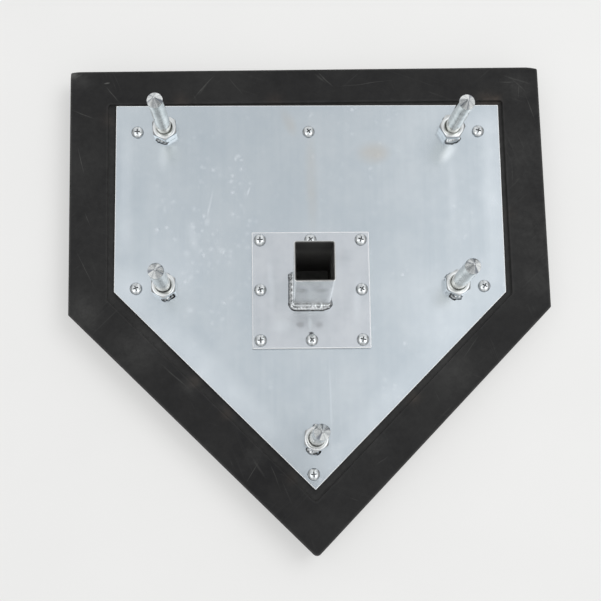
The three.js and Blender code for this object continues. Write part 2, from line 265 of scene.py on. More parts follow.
slab = {
    # outlines of a plate: width, length of its straight sides, y of its front edge
    "plate": (483.7, 253.4989, 246.6389), "corner": 5.0, "height": 38.1, "bevelHeight": 19.05,
    "edgeRound": 1.4,
    # the mould was sharper at the front and the shoulders than at the point
    "cornerShares": (0.35, 0.35, 0.35, 1.0, 0.5),
    "face": (431.8, 215.9, 220.6889), "faceCorner": 3.0, "border": 25.95, "faceRecess": 4.8, "faceLip": 1.6,
    "pocket": (406.4, 203.2, 210.7389), "pocketCorner": 3.0, "seat": 34.1, "lipRound": 1.3,
    "core": (384.5, 187.7143, 199.7889), "coreFloor": 15.05, "gap": 0.3,
    "arcSteps": 8, "sideSteps": 96, "slopeSteps": 7, "wallSteps": 4, "edgeSteps": 6, "lipSteps": 5,
    # rings across the flat rim: shares of the way from its outer edge to the lip of the pocket
    "rimRings": (0.012, 0.03, 0.055, 0.085, 0.12, 0.16, 0.21, 0.28, 0.36, 0.45,
                 0.54, 0.63, 0.72, 0.8, 0.87, 0.92, 0.955, 0.98, 0.993),
    "rimSag": 0.12, "rimWave": 0.02,  # the rim isn't quite flat: depth, and waves for each millimetre
    "cutCorner": (-241.85, 246.64, 5.6, 0.5, 1.6),  # worn corner: where, how far in, slope, wear
    # the front edge falls away at its right end: from where, slope, how far in
    "cutEdge": (232.5, 0.19, 12),
    # stains, dust and painted light on the rim, in millimetres: x, y, size, strength
    "rustSpots": [(-129, 213, 8, 0.5), (187, 212, 7, 0.9), (197, 212, 5, 1.0), (-118, -76, 5, 0.6),
                  (-86, -108, 5, 0.7), (-23, -172, 5, 0.5), (100, -96, 6, 0.6), (-32, 212, 8, 0.4),
                  (-202, 196, 8, 0.4), (203, 90, 7, 0.3)],
    # the three broad spots on the left and right sides, sizes 55 and 60, are painted light, not dust
    "dustAndLightSpots": [(223, 226, 16, 0.4), (-225, -3, 18, 0.5), (-122, -79, 9, 0.45), (228, 20, 16, 0.4),
                  (-232, 238, 10, 0.5), (-238.5, 243.5, 4.0, 2.0), (228, 150, 55, 0.3), (228, 70, 55, 0.3),
                  (-226, 120, 60, 0.15), (-60, -150, 10, 0.4), (-170, -38, 24, 0.4), (140, -70, 22, 0.35),
                  (60, -140, 16, 0.25)],
}

rubber = {
    # edge: paler colour of rubbed edges, also laid on the pocket's lip and wall as painted light
    "body": "#1c1c1d", "dusty": "#2b2b2b", "scratch": "#6a6a68", "edge": "#4c4c4b", "dust": "#525251",
    "rust": "#4a423c", "roughness": (0.54, 0.78), "cloudSize": 90, "dustSize": 7, "grainSize": 0.9,
    "bump": (0.3, 0.1),
    # longer scuffs, in millimetres on the rim: from, to, width, strength
    "scuffs": [((-207, 234), (-199.5, 235.6), 2.2, 1.0), ((-118, 215), (-90, 245), 1.1, 0.4),
               ((13, 246), (31, 227), 1.6, 0.4), ((30, 228), (99, 236), 1.0, 0.3),
               ((-80, 243), (-62, 219), 1.0, 0.25), ((-233, 170), (-226, 138), 0.9, 0.45),
               ((-240, 207), (-213, 196), 1.4, 0.3), ((-235, 63), (-212, 17), 1.0, 0.3),
               ((-51, -150), (-68, -177), 1.1, 0.35), ((-43, -155), (-34, -179), 1.0, 0.3),
               ((199, 232), (224, 232), 0.9, 0.4), ((223, 231), (221, 212), 0.9, 0.3),
               ((211, 151), (210, 120), 1.0, 0.2), ((228, 221), (239, 186), 1.3, 0.25),
               ((-206, 233), (-189, 213), 1.3, 0.3), ((150, -60), (172, -28), 1.0, 0.22),
               ((-150, -55), (-118, -84), 1.8, 0.25), ((60, -160), (74, -150), 1.0, 0.25),
               ((-225, 100), (-219, 84), 1.0, 0.3), ((205, 240), (238, 228), 2.6, 0.22),
               ((214, 238), (232, 218), 1.6, 0.2), ((10, 244), (24, 232), 3.0, 0.2),
               ((-238, 240), (-228, 246), 2.4, 0.35), ((-112, 218), (-96, 240), 3.0, 0.16),
               ((-62, -146), (-46, -172), 3.0, 0.18)],
    "scuffLevel": 38, "scuffDepth": 4, "scuffGain": 1.5, "swaySize": 24, "wander": 2.5,
    # fine hairlines along three ways: turn in radians and seed
    "hairs": ((0.35, 1.0), (1.2, 4.0), (2.4, 7.0)),
    "hairLength": 120, "hairGap": 3.5, "hairPatch": 45, "hairStrength": 0.16,
}


def mouldedBlackRubber(use):
    # moulded rubber, matt and nearly black: dust clouds, hairline scuffs, paler rubbed edges, a little rust;
    # painted light on the pocket's lip and wall and on the rim's left and right sides
    material, tree, shader, place = startMaterial("moulded black rubber",
                                                  {"IOR": 1.52, "Specular IOR Level": 0.16})
    cloud = addNode(tree, "TexNoise",
                    {"Scale": perMetre(use["cloudSize"]), "Detail": 4.0, "Roughness": 0.6}, place)
    dust = addNode(tree, "TexNoise", {"Scale": perMetre(use["dustSize"]), "Detail": 6.0, "Roughness": 0.7},
                   place)
    mixed = addNode(tree, "Math", {"operation": "MULTIPLY_ADD", 1: 0.5}, {0: dust, 2: cloud})
    colour = addNode(tree, "ValToRGB", {"ramp": [(0.55, use["body"]), (0.95, use["dusty"])]}, mixed)
    # a real scuff is a 0.3 mm hairline; these are drawn about 1 mm wide so that they show
    sway = addNode(tree, "TexNoise", {"Scale": perMetre(use["swaySize"]), "Detail": 1.0}, place)
    shift = addNode(tree, "VectorMath", {"operation": "MULTIPLY_ADD", 1: (use["wander"] * mm,) * 3},
                    {0: sway.outputs["Color"], 2: place})
    scuffed = None
    for (x0, y0), (x1, y1), width, strength in use["scuffs"]:
        size = (math.hypot(x1 - x0, y1 - y0) / 2, width / 2, use["scuffDepth"])
        mark = softMark(tree, shift, ((x0 + x1) / 2, (y0 + y1) / 2, use["scuffLevel"]), size,
                        use["scuffGain"] * strength, math.atan2(y1 - y0, x1 - x0),
                        fadeFrom=0.35, fade="LINEAR")
        scuffed = mark if scuffed is None else addNode(tree, "Math", {"operation": "MAXIMUM"},
                                                       {0: scuffed, 1: mark})
    colour = stainOver(tree, colour, use["scratch"], scuffed, dust)
    for turn, seed in use["hairs"]:
        spun = addNode(tree, "Mapping", {"Rotation": (0.0, 0.0, turn), "Location": (seed, seed, 0.0)},
                       place)
        drawn = (perMetre(use["hairLength"]), perMetre(use["hairGap"]), 1.0)
        run = addNode(tree, "Mapping", {"Scale": drawn}, spun)
        line = addNode(tree, "TexNoise", {"Scale": 1.0, "Detail": 0.0}, run)
        thin = addNode(tree, "ValToRGB", {"ramp": [(0.645, 0), (0.665, 1), (0.685, 0)]}, line)
        patch = addNode(tree, "TexNoise", {"Scale": perMetre(use["hairPatch"]), "Detail": 1.0}, spun)
        kept = addNode(tree, "ValToRGB", {"ramp": [(0.5, 0), (0.75, use["hairStrength"])]}, patch)
        colour = stainOver(tree, colour, use["scratch"], thin, kept)
    # rubbed edges, with painted light on the pocket's lip and wall; dust, with painted light in the broad
    # side spots; rust
    for spot, shade in (("wearAndPaintedLight", "edge"), ("dust", "dust"), ("rust", "rust")):
        mark = addNode(tree, "Attribute", {"attribute_name": spot})
        colour = stainOver(tree, colour, use[shade], mark.outputs["Fac"], dust)
    grain = addNode(tree, "TexNoise", {"Scale": perMetre(use["grainSize"]), "Detail": 3.0}, place)
    dressShader(tree, shader, colour, grain, use["bump"], cloud, use["roughness"])
    return material


def makeSlab(use, finish):
    rings, wearOrLight = [], []
    plate, border, edge, shares = use["plate"], use["border"], use["edgeRound"], use["cornerShares"]
    bevel, top, seat, corner = use["bevelHeight"], use["height"], use["seat"], use["corner"]

    def edgeAt(shape, by, radius, sharper=(1.0,)):
        return outline(plateCorners(shape, by), max(radius, 0.3), use["arcSteps"], use["sideSteps"], sharper)

    def addRing(points, z, wornOrLit=0.0):
        rings.append(atHeight(points, z))
        wearOrLight.append(wornOrLit)

    # seat of the white face and the lip round it: in from the slab's edge, height, wear
    recess, lip, faceCorner = border - use["gap"], border - use["faceLip"], use["faceCorner"]
    for by, z, wornOrLit in ((recess, use["faceRecess"], 0), (recess, 0.6, 0), (recess - 0.1, 0.15, 0.4),
                        (recess - 0.3, 0, 0.4), (lip + 0.4, 0, 0.3), (lip, 0.12, 1), (lip - 0.6, 0.55, 0.4)):
        addRing(edgeAt(use["face"], by - border, faceCorner + border - by), z, wornOrLit)
    # sloped side
    lowEdge = edgeAt(use["face"], -use["faceLip"], faceCorner + use["faceLip"])
    wideEdge = edgeAt(plate, 0, corner, shares)
    for k in range(1, use["slopeSteps"]):
        share = k / use["slopeSteps"]
        addRing([p.lerp(q, share) for p, q in zip(lowEdge, wideEdge)], bevel * k / use["slopeSteps"])
    # rubbed edge between the slope and the upright side
    wallFoot, wallHead = bevel + 1.2, top - edge - 0.8
    for by, z, wornOrLit in ((0.9, bevel - 0.75, 0.3), (0.3, bevel - 0.15, 1), (0.05, bevel + 0.4, 1),
                        (0, wallFoot, 0.3)):
        addRing(edgeAt(plate, by, corner - by, shares), z, wornOrLit)
    for k in range(1, use["wallSteps"] + 1):
        addRing(wideEdge, wallFoot + (wallHead - wallFoot) * k / use["wallSteps"])
    for a in quarterTurn(use["edgeSteps"]):  # rounded edge of the underside
        by = edge * (1 - math.cos(a))
        addRing(edgeAt(plate, by, corner - by, shares), top - edge * (1 - math.sin(a)),
                0.6 + 0.4 * math.sin(2 * a))
    # flat rim, from the outer edge to the lip of the pocket
    lipAt, pocketCorner, rim = use["lipRound"], use["pocketCorner"], use["rimRings"]
    outer = edgeAt(plate, edge, corner - edge, shares)
    inner = edgeAt(use["pocket"], -lipAt, pocketCorner + lipAt)
    for t in rim:
        addRing([p.lerp(q, t) for p, q in zip(outer, inner)], top, 0.25 if t in (rim[0], rim[-1]) else 0.0)
    # the lip's lower part is made paler too, as painted light against its shade
    for a in quarterTurn(use["lipSteps"]):
        by = -lipAt * (1 - math.sin(a))
        addRing(edgeAt(use["pocket"], by, pocketCorner - by), top - lipAt * (1 - math.cos(a)), 0.1 + 0.4 * a)
    # the pocket's wall, made paler as painted light against the shade it lies in, and its dusty bottom,
    # then the hollow for the core
    for by, z, wornOrLit in ((0, 35.6, 0.9), (0, 34.7, 0.9), (0.15, 34.25, 0.6), (0.5, seat, 0.35),
                        (3, seat, 0.3)):
        addRing(edgeAt(use["pocket"], by, pocketCorner - by), z, wornOrLit)
    for z in (seat, use["coreFloor"]):
        addRing(edgeAt(use["core"], -use["gap"], pocketCorner + use["gap"]), z)

    def stain(v, spots):
        if v.z <= 34:
            return 0.0
        return max(strength * math.exp(-((v.x - x) ** 2 + (v.y - y) ** 2) / size ** 2)
                   for x, y, size, strength in spots)

    verts, faces = loft(rings)
    cornerX, cornerY, reach, slope, rubbed = use["cutCorner"]
    edgeFrom, fall, depth = use["cutEdge"]
    still = bevel + 2  # below this height the slab keeps its shape
    wearAndPaintedLight, dusty, rusty = [], [], []
    for i, v in enumerate(verts):
        wornOrLit = wearOrLight[i // len(rings[0])]
        inside = ((v.x - cornerX) + (cornerY - v.y)) * math.sqrt(0.5)
        if v.z > still and inside < reach:
            wornOrLit = rubbed if v.z > top - edge else wornOrLit
            v.z -= (reach - inside) * slope * (v.z - still) / (top - still)
        v.y -= fall * max(0.0, v.x - edgeFrom) * max(0.0, 1 - (plate[2] - v.y) / depth)
        if v.z > top - 0.01:
            v.z -= use["rimSag"] * (0.5 + 0.5 * noise.noise(v * use["rimWave"]))
        wearAndPaintedLight.append(wornOrLit)
        # dust, and painted light from the broad side spots
        dusty.append(stain(v, use["dustAndLightSpots"]))
        rusty.append(stain(v, use["rustSpots"]))
    mesh = makeMesh("rubber_slab_mesh", verts, faces, [finish], sharp=50)
    for name, values in (("wearAndPaintedLight", wearAndPaintedLight), ("dust", dusty), ("rust", rusty)):
        paint(mesh, name, values)
    return mesh


addPiece("moulded_slab", makeSlab(slab, mouldedBlackRubber(rubber)), upright, "home_plate",
         "rubber_slab")
print("rubber slab done")


# White playing face, which lies down

playingFace = {"plate": (431.8, 215.9, 220.6889), "corner": 3.0, "thickness": 4.8, "edgeRound": 0.8,
               "bands": (123.5, 47.5, 3.0), "arcSteps": 8, "sideSteps": 30, "edgeSteps": 5}
whiteRubber = {"body": "#e9e7e0", "scuff": "#cfccc2", "roughness": 0.55, "pebbleSize": 2.2, "cloudSize": 60,
               "bump": (0.5, 0.25)}


def mouldedWhiteRubber(use):
    # moulded white rubber: satin, with the fine pebble of its mould and faint grey scuffs
    material, tree, shader, place = startMaterial("moulded white rubber",
                                                  {"IOR": 1.52, "Roughness": use["roughness"]})
    cloud = addNode(tree, "TexNoise",
                    {"Scale": perMetre(use["cloudSize"]), "Detail": 6.0, "Roughness": 0.65}, place)
    colour = addNode(tree, "ValToRGB", {"ramp": [(0.35, use["body"]), (0.8, use["scuff"])]}, cloud)
    pebble = addNode(tree, "TexVoronoi", {"feature": "SMOOTH_F1", "Scale": perMetre(use["pebbleSize"])},
                     place)
    dressShader(tree, shader, colour, pebble, use["bump"], invert=True)
    return material


def makeFace(use, finish):
    edge = use["edgeRound"]

    def ring(by, z):
        corners = plateCorners(use["plate"], by)
        return atHeight(outline(corners, use["corner"], use["arcSteps"], use["sideSteps"]), z)

    rings = [ring(by, 0.0) for by in use["bands"] + (edge + 0.3,)]
    for a in quarterTurn(use["edgeSteps"]):
        rings.append(ring(edge * (1 - math.sin(a)), edge * (1 - math.cos(a))))
    rings.append(ring(0.0, use["thickness"]))
    return makeMesh("white_face_mesh", *loft(rings), [finish], sharp=50)


addPiece("playing_face_skin", makeFace(playingFace, mouldedWhiteRubber(whiteRubber)), upright, "home_plate",
         "white_face")

board = {"light": "#c9a472", "dark": "#9c7242", "bandSize": 21.0, "fibreSize": 1.2, "stretch": 0.12,
         "roughness": 0.7, "bump": (0.3, 0.15)}


def peeledPlywood(use):
    # rotary-peeled softwood ply, bare: wide wavy growth bands with fine fibre along them
    material, tree, shader, place = startMaterial("peeled softwood plywood",
                                                  {"Roughness": use["roughness"], "IOR": 1.5})
    along = addNode(tree, "Mapping", {"Scale": (use["stretch"], 1.0, 1.0)}, place)
    band = addNode(tree, "TexNoise", {"Scale": perMetre(use["bandSize"]), "Detail": 3.0, "Distortion": 1.5},
                   along)
    fibre = addNode(tree, "TexNoise", {"Scale": perMetre(use["fibreSize"]), "Detail": 4.0}, along)
    both = addNode(tree, "Math", {"operation": "MULTIPLY_ADD", 1: 0.35}, {0: fibre, 2: band})
    colour = addNode(tree, "ValToRGB", {"ramp": [(0.45, use["light"]), (0.85, use["dark"])]}, both)
    dressShader(tree, shader, colour, fibre, use["bump"])
    return material


ply = peeledPlywood(board)
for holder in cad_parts["core_board"].material_slots:
    holder.material = ply
print("playing face and core done")


# Sheet steel: base plate and stanchion plate

sheetSteel = {
    "name": "rolled galvanised sheet", "light": "#cdd5db", "mid": "#c3ccd3", "dark": "#bac4cc",
    # edge: painted highlight along the sheared edge
    "bloomAndSheen": "#e9f0f6", "tan": "#c6bfb4", "soot": "#9b9da0", "pit": "#232426", "edge": "#f4f6f7",
    "roughness": (0.27, 0.17), "bump": (0.06, 0.05), "cloudSize": 75, "spangleSize": 6.0,
    "patchSize": 28, "streakWidth": 7.0, "streakLength": 300, "fineWidth": 1.2, "fineLength": 110,
    # chalky dots: where they are thickest (x, y, half width, half length) and how they spread
    "dotsAt": (-104, -128, 72, 115), "dotSize": 9.5, "speckSize": 4.0, "dotWander": 4.0, "dotChance": 0.17,
    "dotStrength": 0.36,
    # wipe marks, stains and painted reflections (pale streaks below the nuts, pale strips and patches along
    # the sides and slopes) in the steelwork's millimetres: x, y, half width, half length, turn in degrees,
    # colour, strength
    "marks": [(186, -95, 15, 115, 0, "bloomAndSheen", 0.25), (92, -287, 18, 125, -45, "bloomAndSheen", 0.14),
              (180, -20, 28, 26, 0, "bloomAndSheen", 0.25), (-72.5, -54, 4.6, 3.4, 20, "bloomAndSheen", 0.35),
              (-75, -57, 2.2, 3.4, 10, "bloomAndSheen", 0.4), (-69, -58, 3.2, 2.0, 0, "bloomAndSheen", 0.35),
              (-101, -104, 1.6, 20, -12, "bloomAndSheen", 0.42), (-62, -91, 1.6, 7, -18, "bloomAndSheen", 0.42),
              (-118, -140, 7, 26, 15, "bloomAndSheen", 0.22), (66, -51, 23, 16, 4, "tan", 0.42),
              (2, -80, 9, 75, 1, "tan", 0.2), (-20, -18, 9, 22, 24, "tan", 0.28),
              (143, -51, 8, 18, -38, "bloomAndSheen", 0.7), (146, -95, 7, 55, 0, "bloomAndSheen", 0.14),
              (-148, -56, 9, 20, 0, "bloomAndSheen", 0.3), (18, -310, 1.3, 75, 1, "bloomAndSheen", 0.22),
              (-2, -228, 14, 4, 90, "soot", 0.3), (8, -222, 5, 3, 0, "soot", 0.3),
              (-186, -90, 10, 90, 0, "bloomAndSheen", 0.2), (128, -212, 50, 60, 0, "bloomAndSheen", 0.22),
              (-93, -285, 24, 150, 45, "bloomAndSheen", 0.3), (-178, -192, 26, 34, 20, "bloomAndSheen", 0.26),
              (14, -360, 34, 34, 0, "bloomAndSheen", 0.24), (-138, -175, 42, 58, 0, "bloomAndSheen", 0.2),
              (-124.5, -154.6, 5.5, 5.0, 0, "bloomAndSheen", 0.3), (-121, -212.6, 5.0, 4.5, 0, "bloomAndSheen", 0.3),
              (-104, -123, 4.0, 6.0, -20, "bloomAndSheen", 0.28), (-89, -152, 6.0, 4.0, 10, "bloomAndSheen", 0.22)],
    "markGain": 2, "markDepth": 1000,
}

# the stanchion plate is greyer, without dots but with smudges from the welding
anchorSteel = dict(
    sheetSteel, name="sheared galvanised plate", light="#d3d8dd", mid="#cbd0d6", dark="#c1c7cd",
    cloudSize=26, dotStrength=0.0,
    marks=[(-11, -229, 6, 5, 0, "soot", 0.5), (7.4, -229.5, 6, 5, 0, "soot", 0.45),
           (-1.5, -227, 3.5, 10, 0, "bloomAndSheen", 0.5), (0, -216, 22, 6, 0, "bloomAndSheen", 0.3),
           (-40, -190, 5, 40, 3, "bloomAndSheen", 0.25), (46, -205, 6, 36, -4, "bloomAndSheen", 0.25),
           (0, -214, 26, 12, 0, "bloomAndSheen", 0.2), (30, -160, 12, 14, 20, "soot", 0.12),
           (-30, -230, 16, 10, 0, "bloomAndSheen", 0.2), (-0.5, -237.6, 3.6, 1.9, 0, "pit", 1.0)])


def galvanisedSheet(use):
    # hot-dip galvanised sheet: pale blue-grey, streaked by rolling, faint spangle, chalky dots of white
    # rust, painted reflections and a painted highlight along the sheared edge
    material, tree, shader, place = startMaterial(use["name"], {"Metallic": 1.0})
    cloud = addNode(tree, "TexNoise",
                    {"Scale": perMetre(use["cloudSize"]), "Detail": 4.0, "Roughness": 0.55}, place)
    wide = addNode(tree, "Mapping",
                   {"Scale": (perMetre(use["streakWidth"]), perMetre(use["streakLength"]), 1.0)}, place)
    streak = addNode(tree, "TexNoise", {"Scale": 1.0, "Detail": 3.0, "Roughness": 0.6}, wide)
    fine = addNode(tree, "Mapping",
                   {"Scale": (perMetre(use["fineWidth"]), perMetre(use["fineLength"]), 1.0)}, place)
    line = addNode(tree, "TexNoise", {"Scale": 1.0, "Detail": 2.0}, fine)
    spangle = addNode(tree, "TexVoronoi", {"Scale": perMetre(use["spangleSize"])}, place)
    flake = addNode(tree, "SeparateColor", links=spangle.outputs["Color"])
    streaked = addNode(tree, "Math", {"operation": "MULTIPLY_ADD", 1: 0.25}, {0: streak, 2: cloud})
    lined = addNode(tree, "Math", {"operation": "MULTIPLY_ADD", 1: 0.12}, {0: line, 2: streaked})
    rolled = addNode(tree, "Math", {"operation": "MULTIPLY_ADD", 1: 0.06}, {0: flake, 2: lined})
    shades = [(0.45, use["dark"]), (0.72, use["mid"]), (1.0, use["light"])]
    base = addNode(tree, "ValToRGB", {"ramp": shades}, rolled)
    # chalky white rust: small pale dots and crumbs of uneven shape and strength
    speck = addNode(tree, "TexNoise", {"Scale": perMetre(use["speckSize"]), "Detail": 2.0}, place)
    ragged = addNode(tree, "VectorMath", {"operation": "MULTIPLY_ADD", 1: (use["dotWander"] * mm,) * 3},
                     {0: speck.outputs["Color"], 2: place})
    dots = addNode(tree, "TexVoronoi", {"voronoi_dimensions": "2D", "Scale": perMetre(use["dotSize"])},
                   ragged)
    dot = addNode(tree, "ValToRGB", {"ramp": [(0.05, 1), (0.28, 0)]}, dots)
    kinds = addNode(tree, "SeparateColor", links=dots.outputs["Color"])
    varied = addNode(tree, "Math", {"operation": "MULTIPLY"}, {0: dot, 1: kinds})
    crumb = addNode(tree, "ValToRGB", {"ramp": [(0.61, 0), (0.72, 0.6)]}, speck)
    chalks = addNode(tree, "Math", {"operation": "MAXIMUM"}, {0: varied, 1: crumb})
    # they come in patches, thickest in one cloud
    x, y, wideBy, longBy = use["dotsAt"]
    near = softMark(tree, place, (x, y, 0), (wideBy, longBy, use["markDepth"]), use["dotChance"],
                    fadeFrom=0.2, fade="LINEAR")
    patch = addNode(tree, "TexNoise", {"Scale": perMetre(use["patchSize"]), "Detail": 3.0}, place)
    chance = addNode(tree, "Math", {"operation": "ADD"}, {0: patch, 1: near})
    kept = addNode(tree, "ValToRGB", {"ramp": [(0.53, 0), (0.66, use["dotStrength"])]}, chance)
    amount = addNode(tree, "Math", {"operation": "MULTIPLY"}, {0: chalks, 1: kept})
    colour = addNode(tree, "Mix", {"data_type": "RGBA", 7: linear(use["bloomAndSheen"])},
                     {0: amount, 6: base}).outputs[2]
    # wipe marks, stains and painted reflections: pale streaks below the nuts, pale strips along sides and
    # slopes
    for x, y, wideBy, longBy, turn, shade, strength in use["marks"]:
        mark = softMark(tree, place, (x, y, 0), (wideBy, longBy, use["markDepth"]),
                        use["markGain"] * strength, math.radians(turn))
        colour = stainOver(tree, colour, use[shade], mark, patch)
    # painted highlight: the sheared edge is painted pale, duller and less metallic; the dots are chalky with
    # zinc oxide
    bright = addNode(tree, "Attribute", {"attribute_name": "paintedEdgeHighlight"}).outputs["Fac"]
    edged = addNode(tree, "Mix", {"data_type": "RGBA", 7: linear(use["edge"])}, {0: bright, 6: colour})
    chalkAndHighlight = addNode(tree, "Math", {"operation": "MAXIMUM"}, {0: bright, 1: amount})
    chalk = addNode(tree, "Math", {"operation": "MULTIPLY_ADD", 1: -0.8, 2: 1.0}, {0: chalkAndHighlight})
    tree.links.new(chalk.outputs[0], shader.inputs["Metallic"])
    dull, smooth = use["roughness"]
    rough = addNode(tree, "MapRange", {"From Min": 0.4, "From Max": 1.0, "To Min": dull, "To Max": smooth},
                    rolled)
    duller = addNode(tree, "Math", {"operation": "MULTIPLY_ADD", 1: 0.35}, {0: bright, 2: rough})
    tree.links.new(duller.outputs[0], shader.inputs["Roughness"])
    dressShader(tree, shader, edged.outputs[2], lined, use["bump"])
    return material


# flat sheet with a broken edge and round holes; ringAt gives the outline moved in by a distance
def makeSheet(name, use, ringAt, holes, finish, at=(0, 0), allEdgesHighlighted=True):
    low, high, broken = use["low"], use["high"], use["broken"]
    bm = bmesh.new()
    shine = bm.verts.layers.float.new("paintedEdgeHighlight")
    arc = quarterTurn(use["edgeSteps"])
    profile = [(broken + 0.4, low)]
    profile += [(broken * (1 - math.sin(a)), low + broken * (1 - math.cos(a))) for a in arc]
    profile += [(broken * (1 - math.cos(a)), high - broken * (1 - math.sin(a))) for a in arc]
    profile.append((broken + 0.4, high))

    def wall(rings, inward):
        loops = [[bm.verts.new(p) for p in ring] for ring in rings]
        for lower, upper in zip(loops, loops[1:]):
            for i in range(len(lower)):
                j = (i + 1) % len(lower)
                quad = (lower[i], lower[j], upper[j], upper[i])
                bm.faces.new(tuple(reversed(quad)) if inward else quad)
        return loops[0], loops[-1]

    ends = [wall([atHeight(ringAt(by), z) for by, z in profile], False)]
    strip = max(v.co.x for v in bm.verts) - use["highlightStrip"]
    # painted highlight along the sheared edge
    for v in bm.verts:  # the sheared edge is bright
        if v.co.z > low + 0.1 and (allEdgesHighlighted or abs(v.co.x) > strip):
            v[shine] = 1.0
    for v in ends[0][1]:
        v[shine] = 0.0
    for hole in holes:
        rings = [atHeight(circle(use["hole"] + by * 0.6, use["holeSteps"], hole), z) for by, z in profile]
        ends.append(wall(rings, True))
    for level in (0, 1):
        edges = []
        for pair in ends:
            loop = pair[level]
            edges += [bm.edges.get((loop[i], loop[i - 1])) for i in range(len(loop))]
        bmesh.ops.triangle_fill(bm, use_beauty=True, use_dissolve=False, edges=edges,
                                normal=(0, 0, 1 if level else -1))
    bmesh.ops.recalc_face_normals(bm, faces=bm.faces)
    for v in bm.verts:
        v.co = Vector((v.co.x + at[0], v.co.y + at[1], v.co.z)) * mm
    mesh = bpy.data.meshes.new(name)
    bm.to_mesh(mesh)
    bm.free()
    mesh.materials.append(finish)
    shadeSmooth(mesh, 38)
    return mesh


# a screw's place on the steelwork, in its own millimetres
def onSteel(node):
    at = steelwork.inverted() @ middleOf(node)
    return at.x / mm, at.y / mm


places = ("front_left", "front_right", "rear_left", "rear_right", "tip")
perimeterScrews = ["perimeter_screw_" + n for n in places[:1] + ("front_middle",) + places[1:]]
stanchionScrews = ["stanchion_screw_" + str(k) for k in range(1, 9)]

basePlate = {"plate": (393.7, 194.5, 0.0), "corner": 1.0, "leftShort": 0.8, "tipShift": 1.65,
             "rightLong": 2.2, "low": 0.0, "high": 3.2, "broken": 0.45, "hole": 3.55, "holeSteps": 24,
             "edgeSteps": 4, "cornerSteps": 6, "highlightStrip": 1.5}
stanchionPlate = {"size": 118.0, "corner": 1.0, "setback": 193.8, "low": 3.2, "high": 8.0, "broken": 0.5,
                  "hole": 3.55, "holeSteps": 24, "edgeSteps": 4, "cornerSteps": 6, "highlightStrip": 1.5}


# the base plate's outline, its rear cut a little askew
def basePlateEdge(by, use=basePlate):
    moves = [(0, 0), (0, 0), (0, use["leftShort"]), (use["tipShift"], 0), (0, -use["rightLong"])]
    corners = [(x + dx, y + dy) for (x, y), (dx, dy) in zip(plateCorners(use["plate"], by), moves)]
    return outline(corners, use["corner"] - by, use["cornerSteps"])


def stanchionPlateEdge(by, use=stanchionPlate):
    return outline(squareCorners(use["size"] - 2 * by), use["corner"] - by, use["cornerSteps"])


plateHoles = [onSteel(n) for n in perimeterScrews + stanchionScrews]
addPiece("rolled_base_plate",
         makeSheet("base_plate_mesh", basePlate, basePlateEdge, plateHoles, galvanisedSheet(sheetSteel)),
         steelwork, "home_plate", "base_plate")
setback = stanchionPlate["setback"]
anchorHoles = [(x, y + setback) for x, y in map(onSteel, stanchionScrews)]
addPiece("sheared_stanchion_plate",
         makeSheet("stanchion_plate_mesh", stanchionPlate, stanchionPlateEdge, anchorHoles,
                   galvanisedSheet(anchorSteel), at=(0, -setback), allEdgesHighlighted=False),
         steelwork, "home_plate", "stanchion_plate")
print("sheet steel done")


# Stanchion tube and its weld

tube = {
    "size": 37.0, "wall": 1.6, "corner": 2.6, "length": 133.35, "lean": 2.0, "cutRound": 0.35, "cutSteps": 4,
    "arcSteps": 8, "sideSteps": 24, "ringSteps": 12, "endBand": 1.5,
    "seamAt": -4, "seamWidth": 2.4, "seamHeight": 0.5,  # the seam stands proud inside, on the right wall
    "zincEdge": 0.65,  # how far zinc reaches over the cut end
    "cake": (0.03, 0.2),  # a thin cake of scale on the plate inside the tube: from, to
    "light": "#eceeed", "dark": "#d8dbda", "smudge": "#a9acaa", "shine": "#fdfefe",
    "roughness": (0.09, 0.29), "smudgeSize": 9.0, "drawSize": 0.8, "drawBump": (0.1, 0.05),
    # heat smudges and painted highlights (shine) on the front wall: across, up, half width, half height,
    # colour, strength
    "marks": [(-11, 88, 7, 17, "smudge", 0.6), (6.5, 88, 8, 17, "smudge", 0.6),
              (15.5, 60, 4, 85, "shine", 0.7), (0, 18, 24, 30, "shine", 0.5)],
    "markGain": 2, "markDepth": 6,
    # colour of the scale inside, with painted light and shade, from the foot to the mouth: share of the
    # height, colour
    "scale": [(0.0, "#8f8e8c"), (0.3, "#a5a5a3"), (0.68, "#a8a8a6"), (0.82, "#767675"), (0.95, "#626261")],
    "scaleRoughness": (0.27, 0.62), "scaleSize": 6.0, "scaleBump": (0.3, 0.1),
}


def drawnGalvanisedTube(use):
    # galvanised tube drawn through a die: soft grey sheen, faint lines along its length, cloudy smudges,
    # painted highlights
    material, tree, shader, place = startMaterial("drawn galvanised tube", {"Metallic": 1.0})
    drawn = addNode(tree, "Mapping", {"Scale": (1.0, 1.0, 0.22)}, place)
    smudge = addNode(tree, "TexNoise", {"Scale": perMetre(use["smudgeSize"]), "Detail": 3.0}, drawn)
    along = addNode(tree, "Mapping", {"Scale": (1.0, 1.0, 0.015)}, place)
    draw = addNode(tree, "TexNoise", {"Scale": perMetre(use["drawSize"]), "Detail": 2.0}, along)
    both = addNode(tree, "Math", {"operation": "MULTIPLY_ADD", 1: 0.4}, {0: draw, 2: smudge})
    colour = addNode(tree, "ValToRGB", {"ramp": [(0.5, use["dark"]), (0.85, use["light"])]}, both)
    # heat smudges, and painted highlights up the right edge and near the foot
    for x, z, wideBy, highBy, shade, strength in use["marks"]:
        mark = softMark(tree, place, (x, -use["size"] / 2, z), (wideBy, use["markDepth"], highBy),
                        use["markGain"] * strength)
        colour = stainOver(tree, colour, use[shade], mark, smudge)
    dressShader(tree, shader, colour, draw, use["drawBump"], smudge, use["roughness"])
    return material


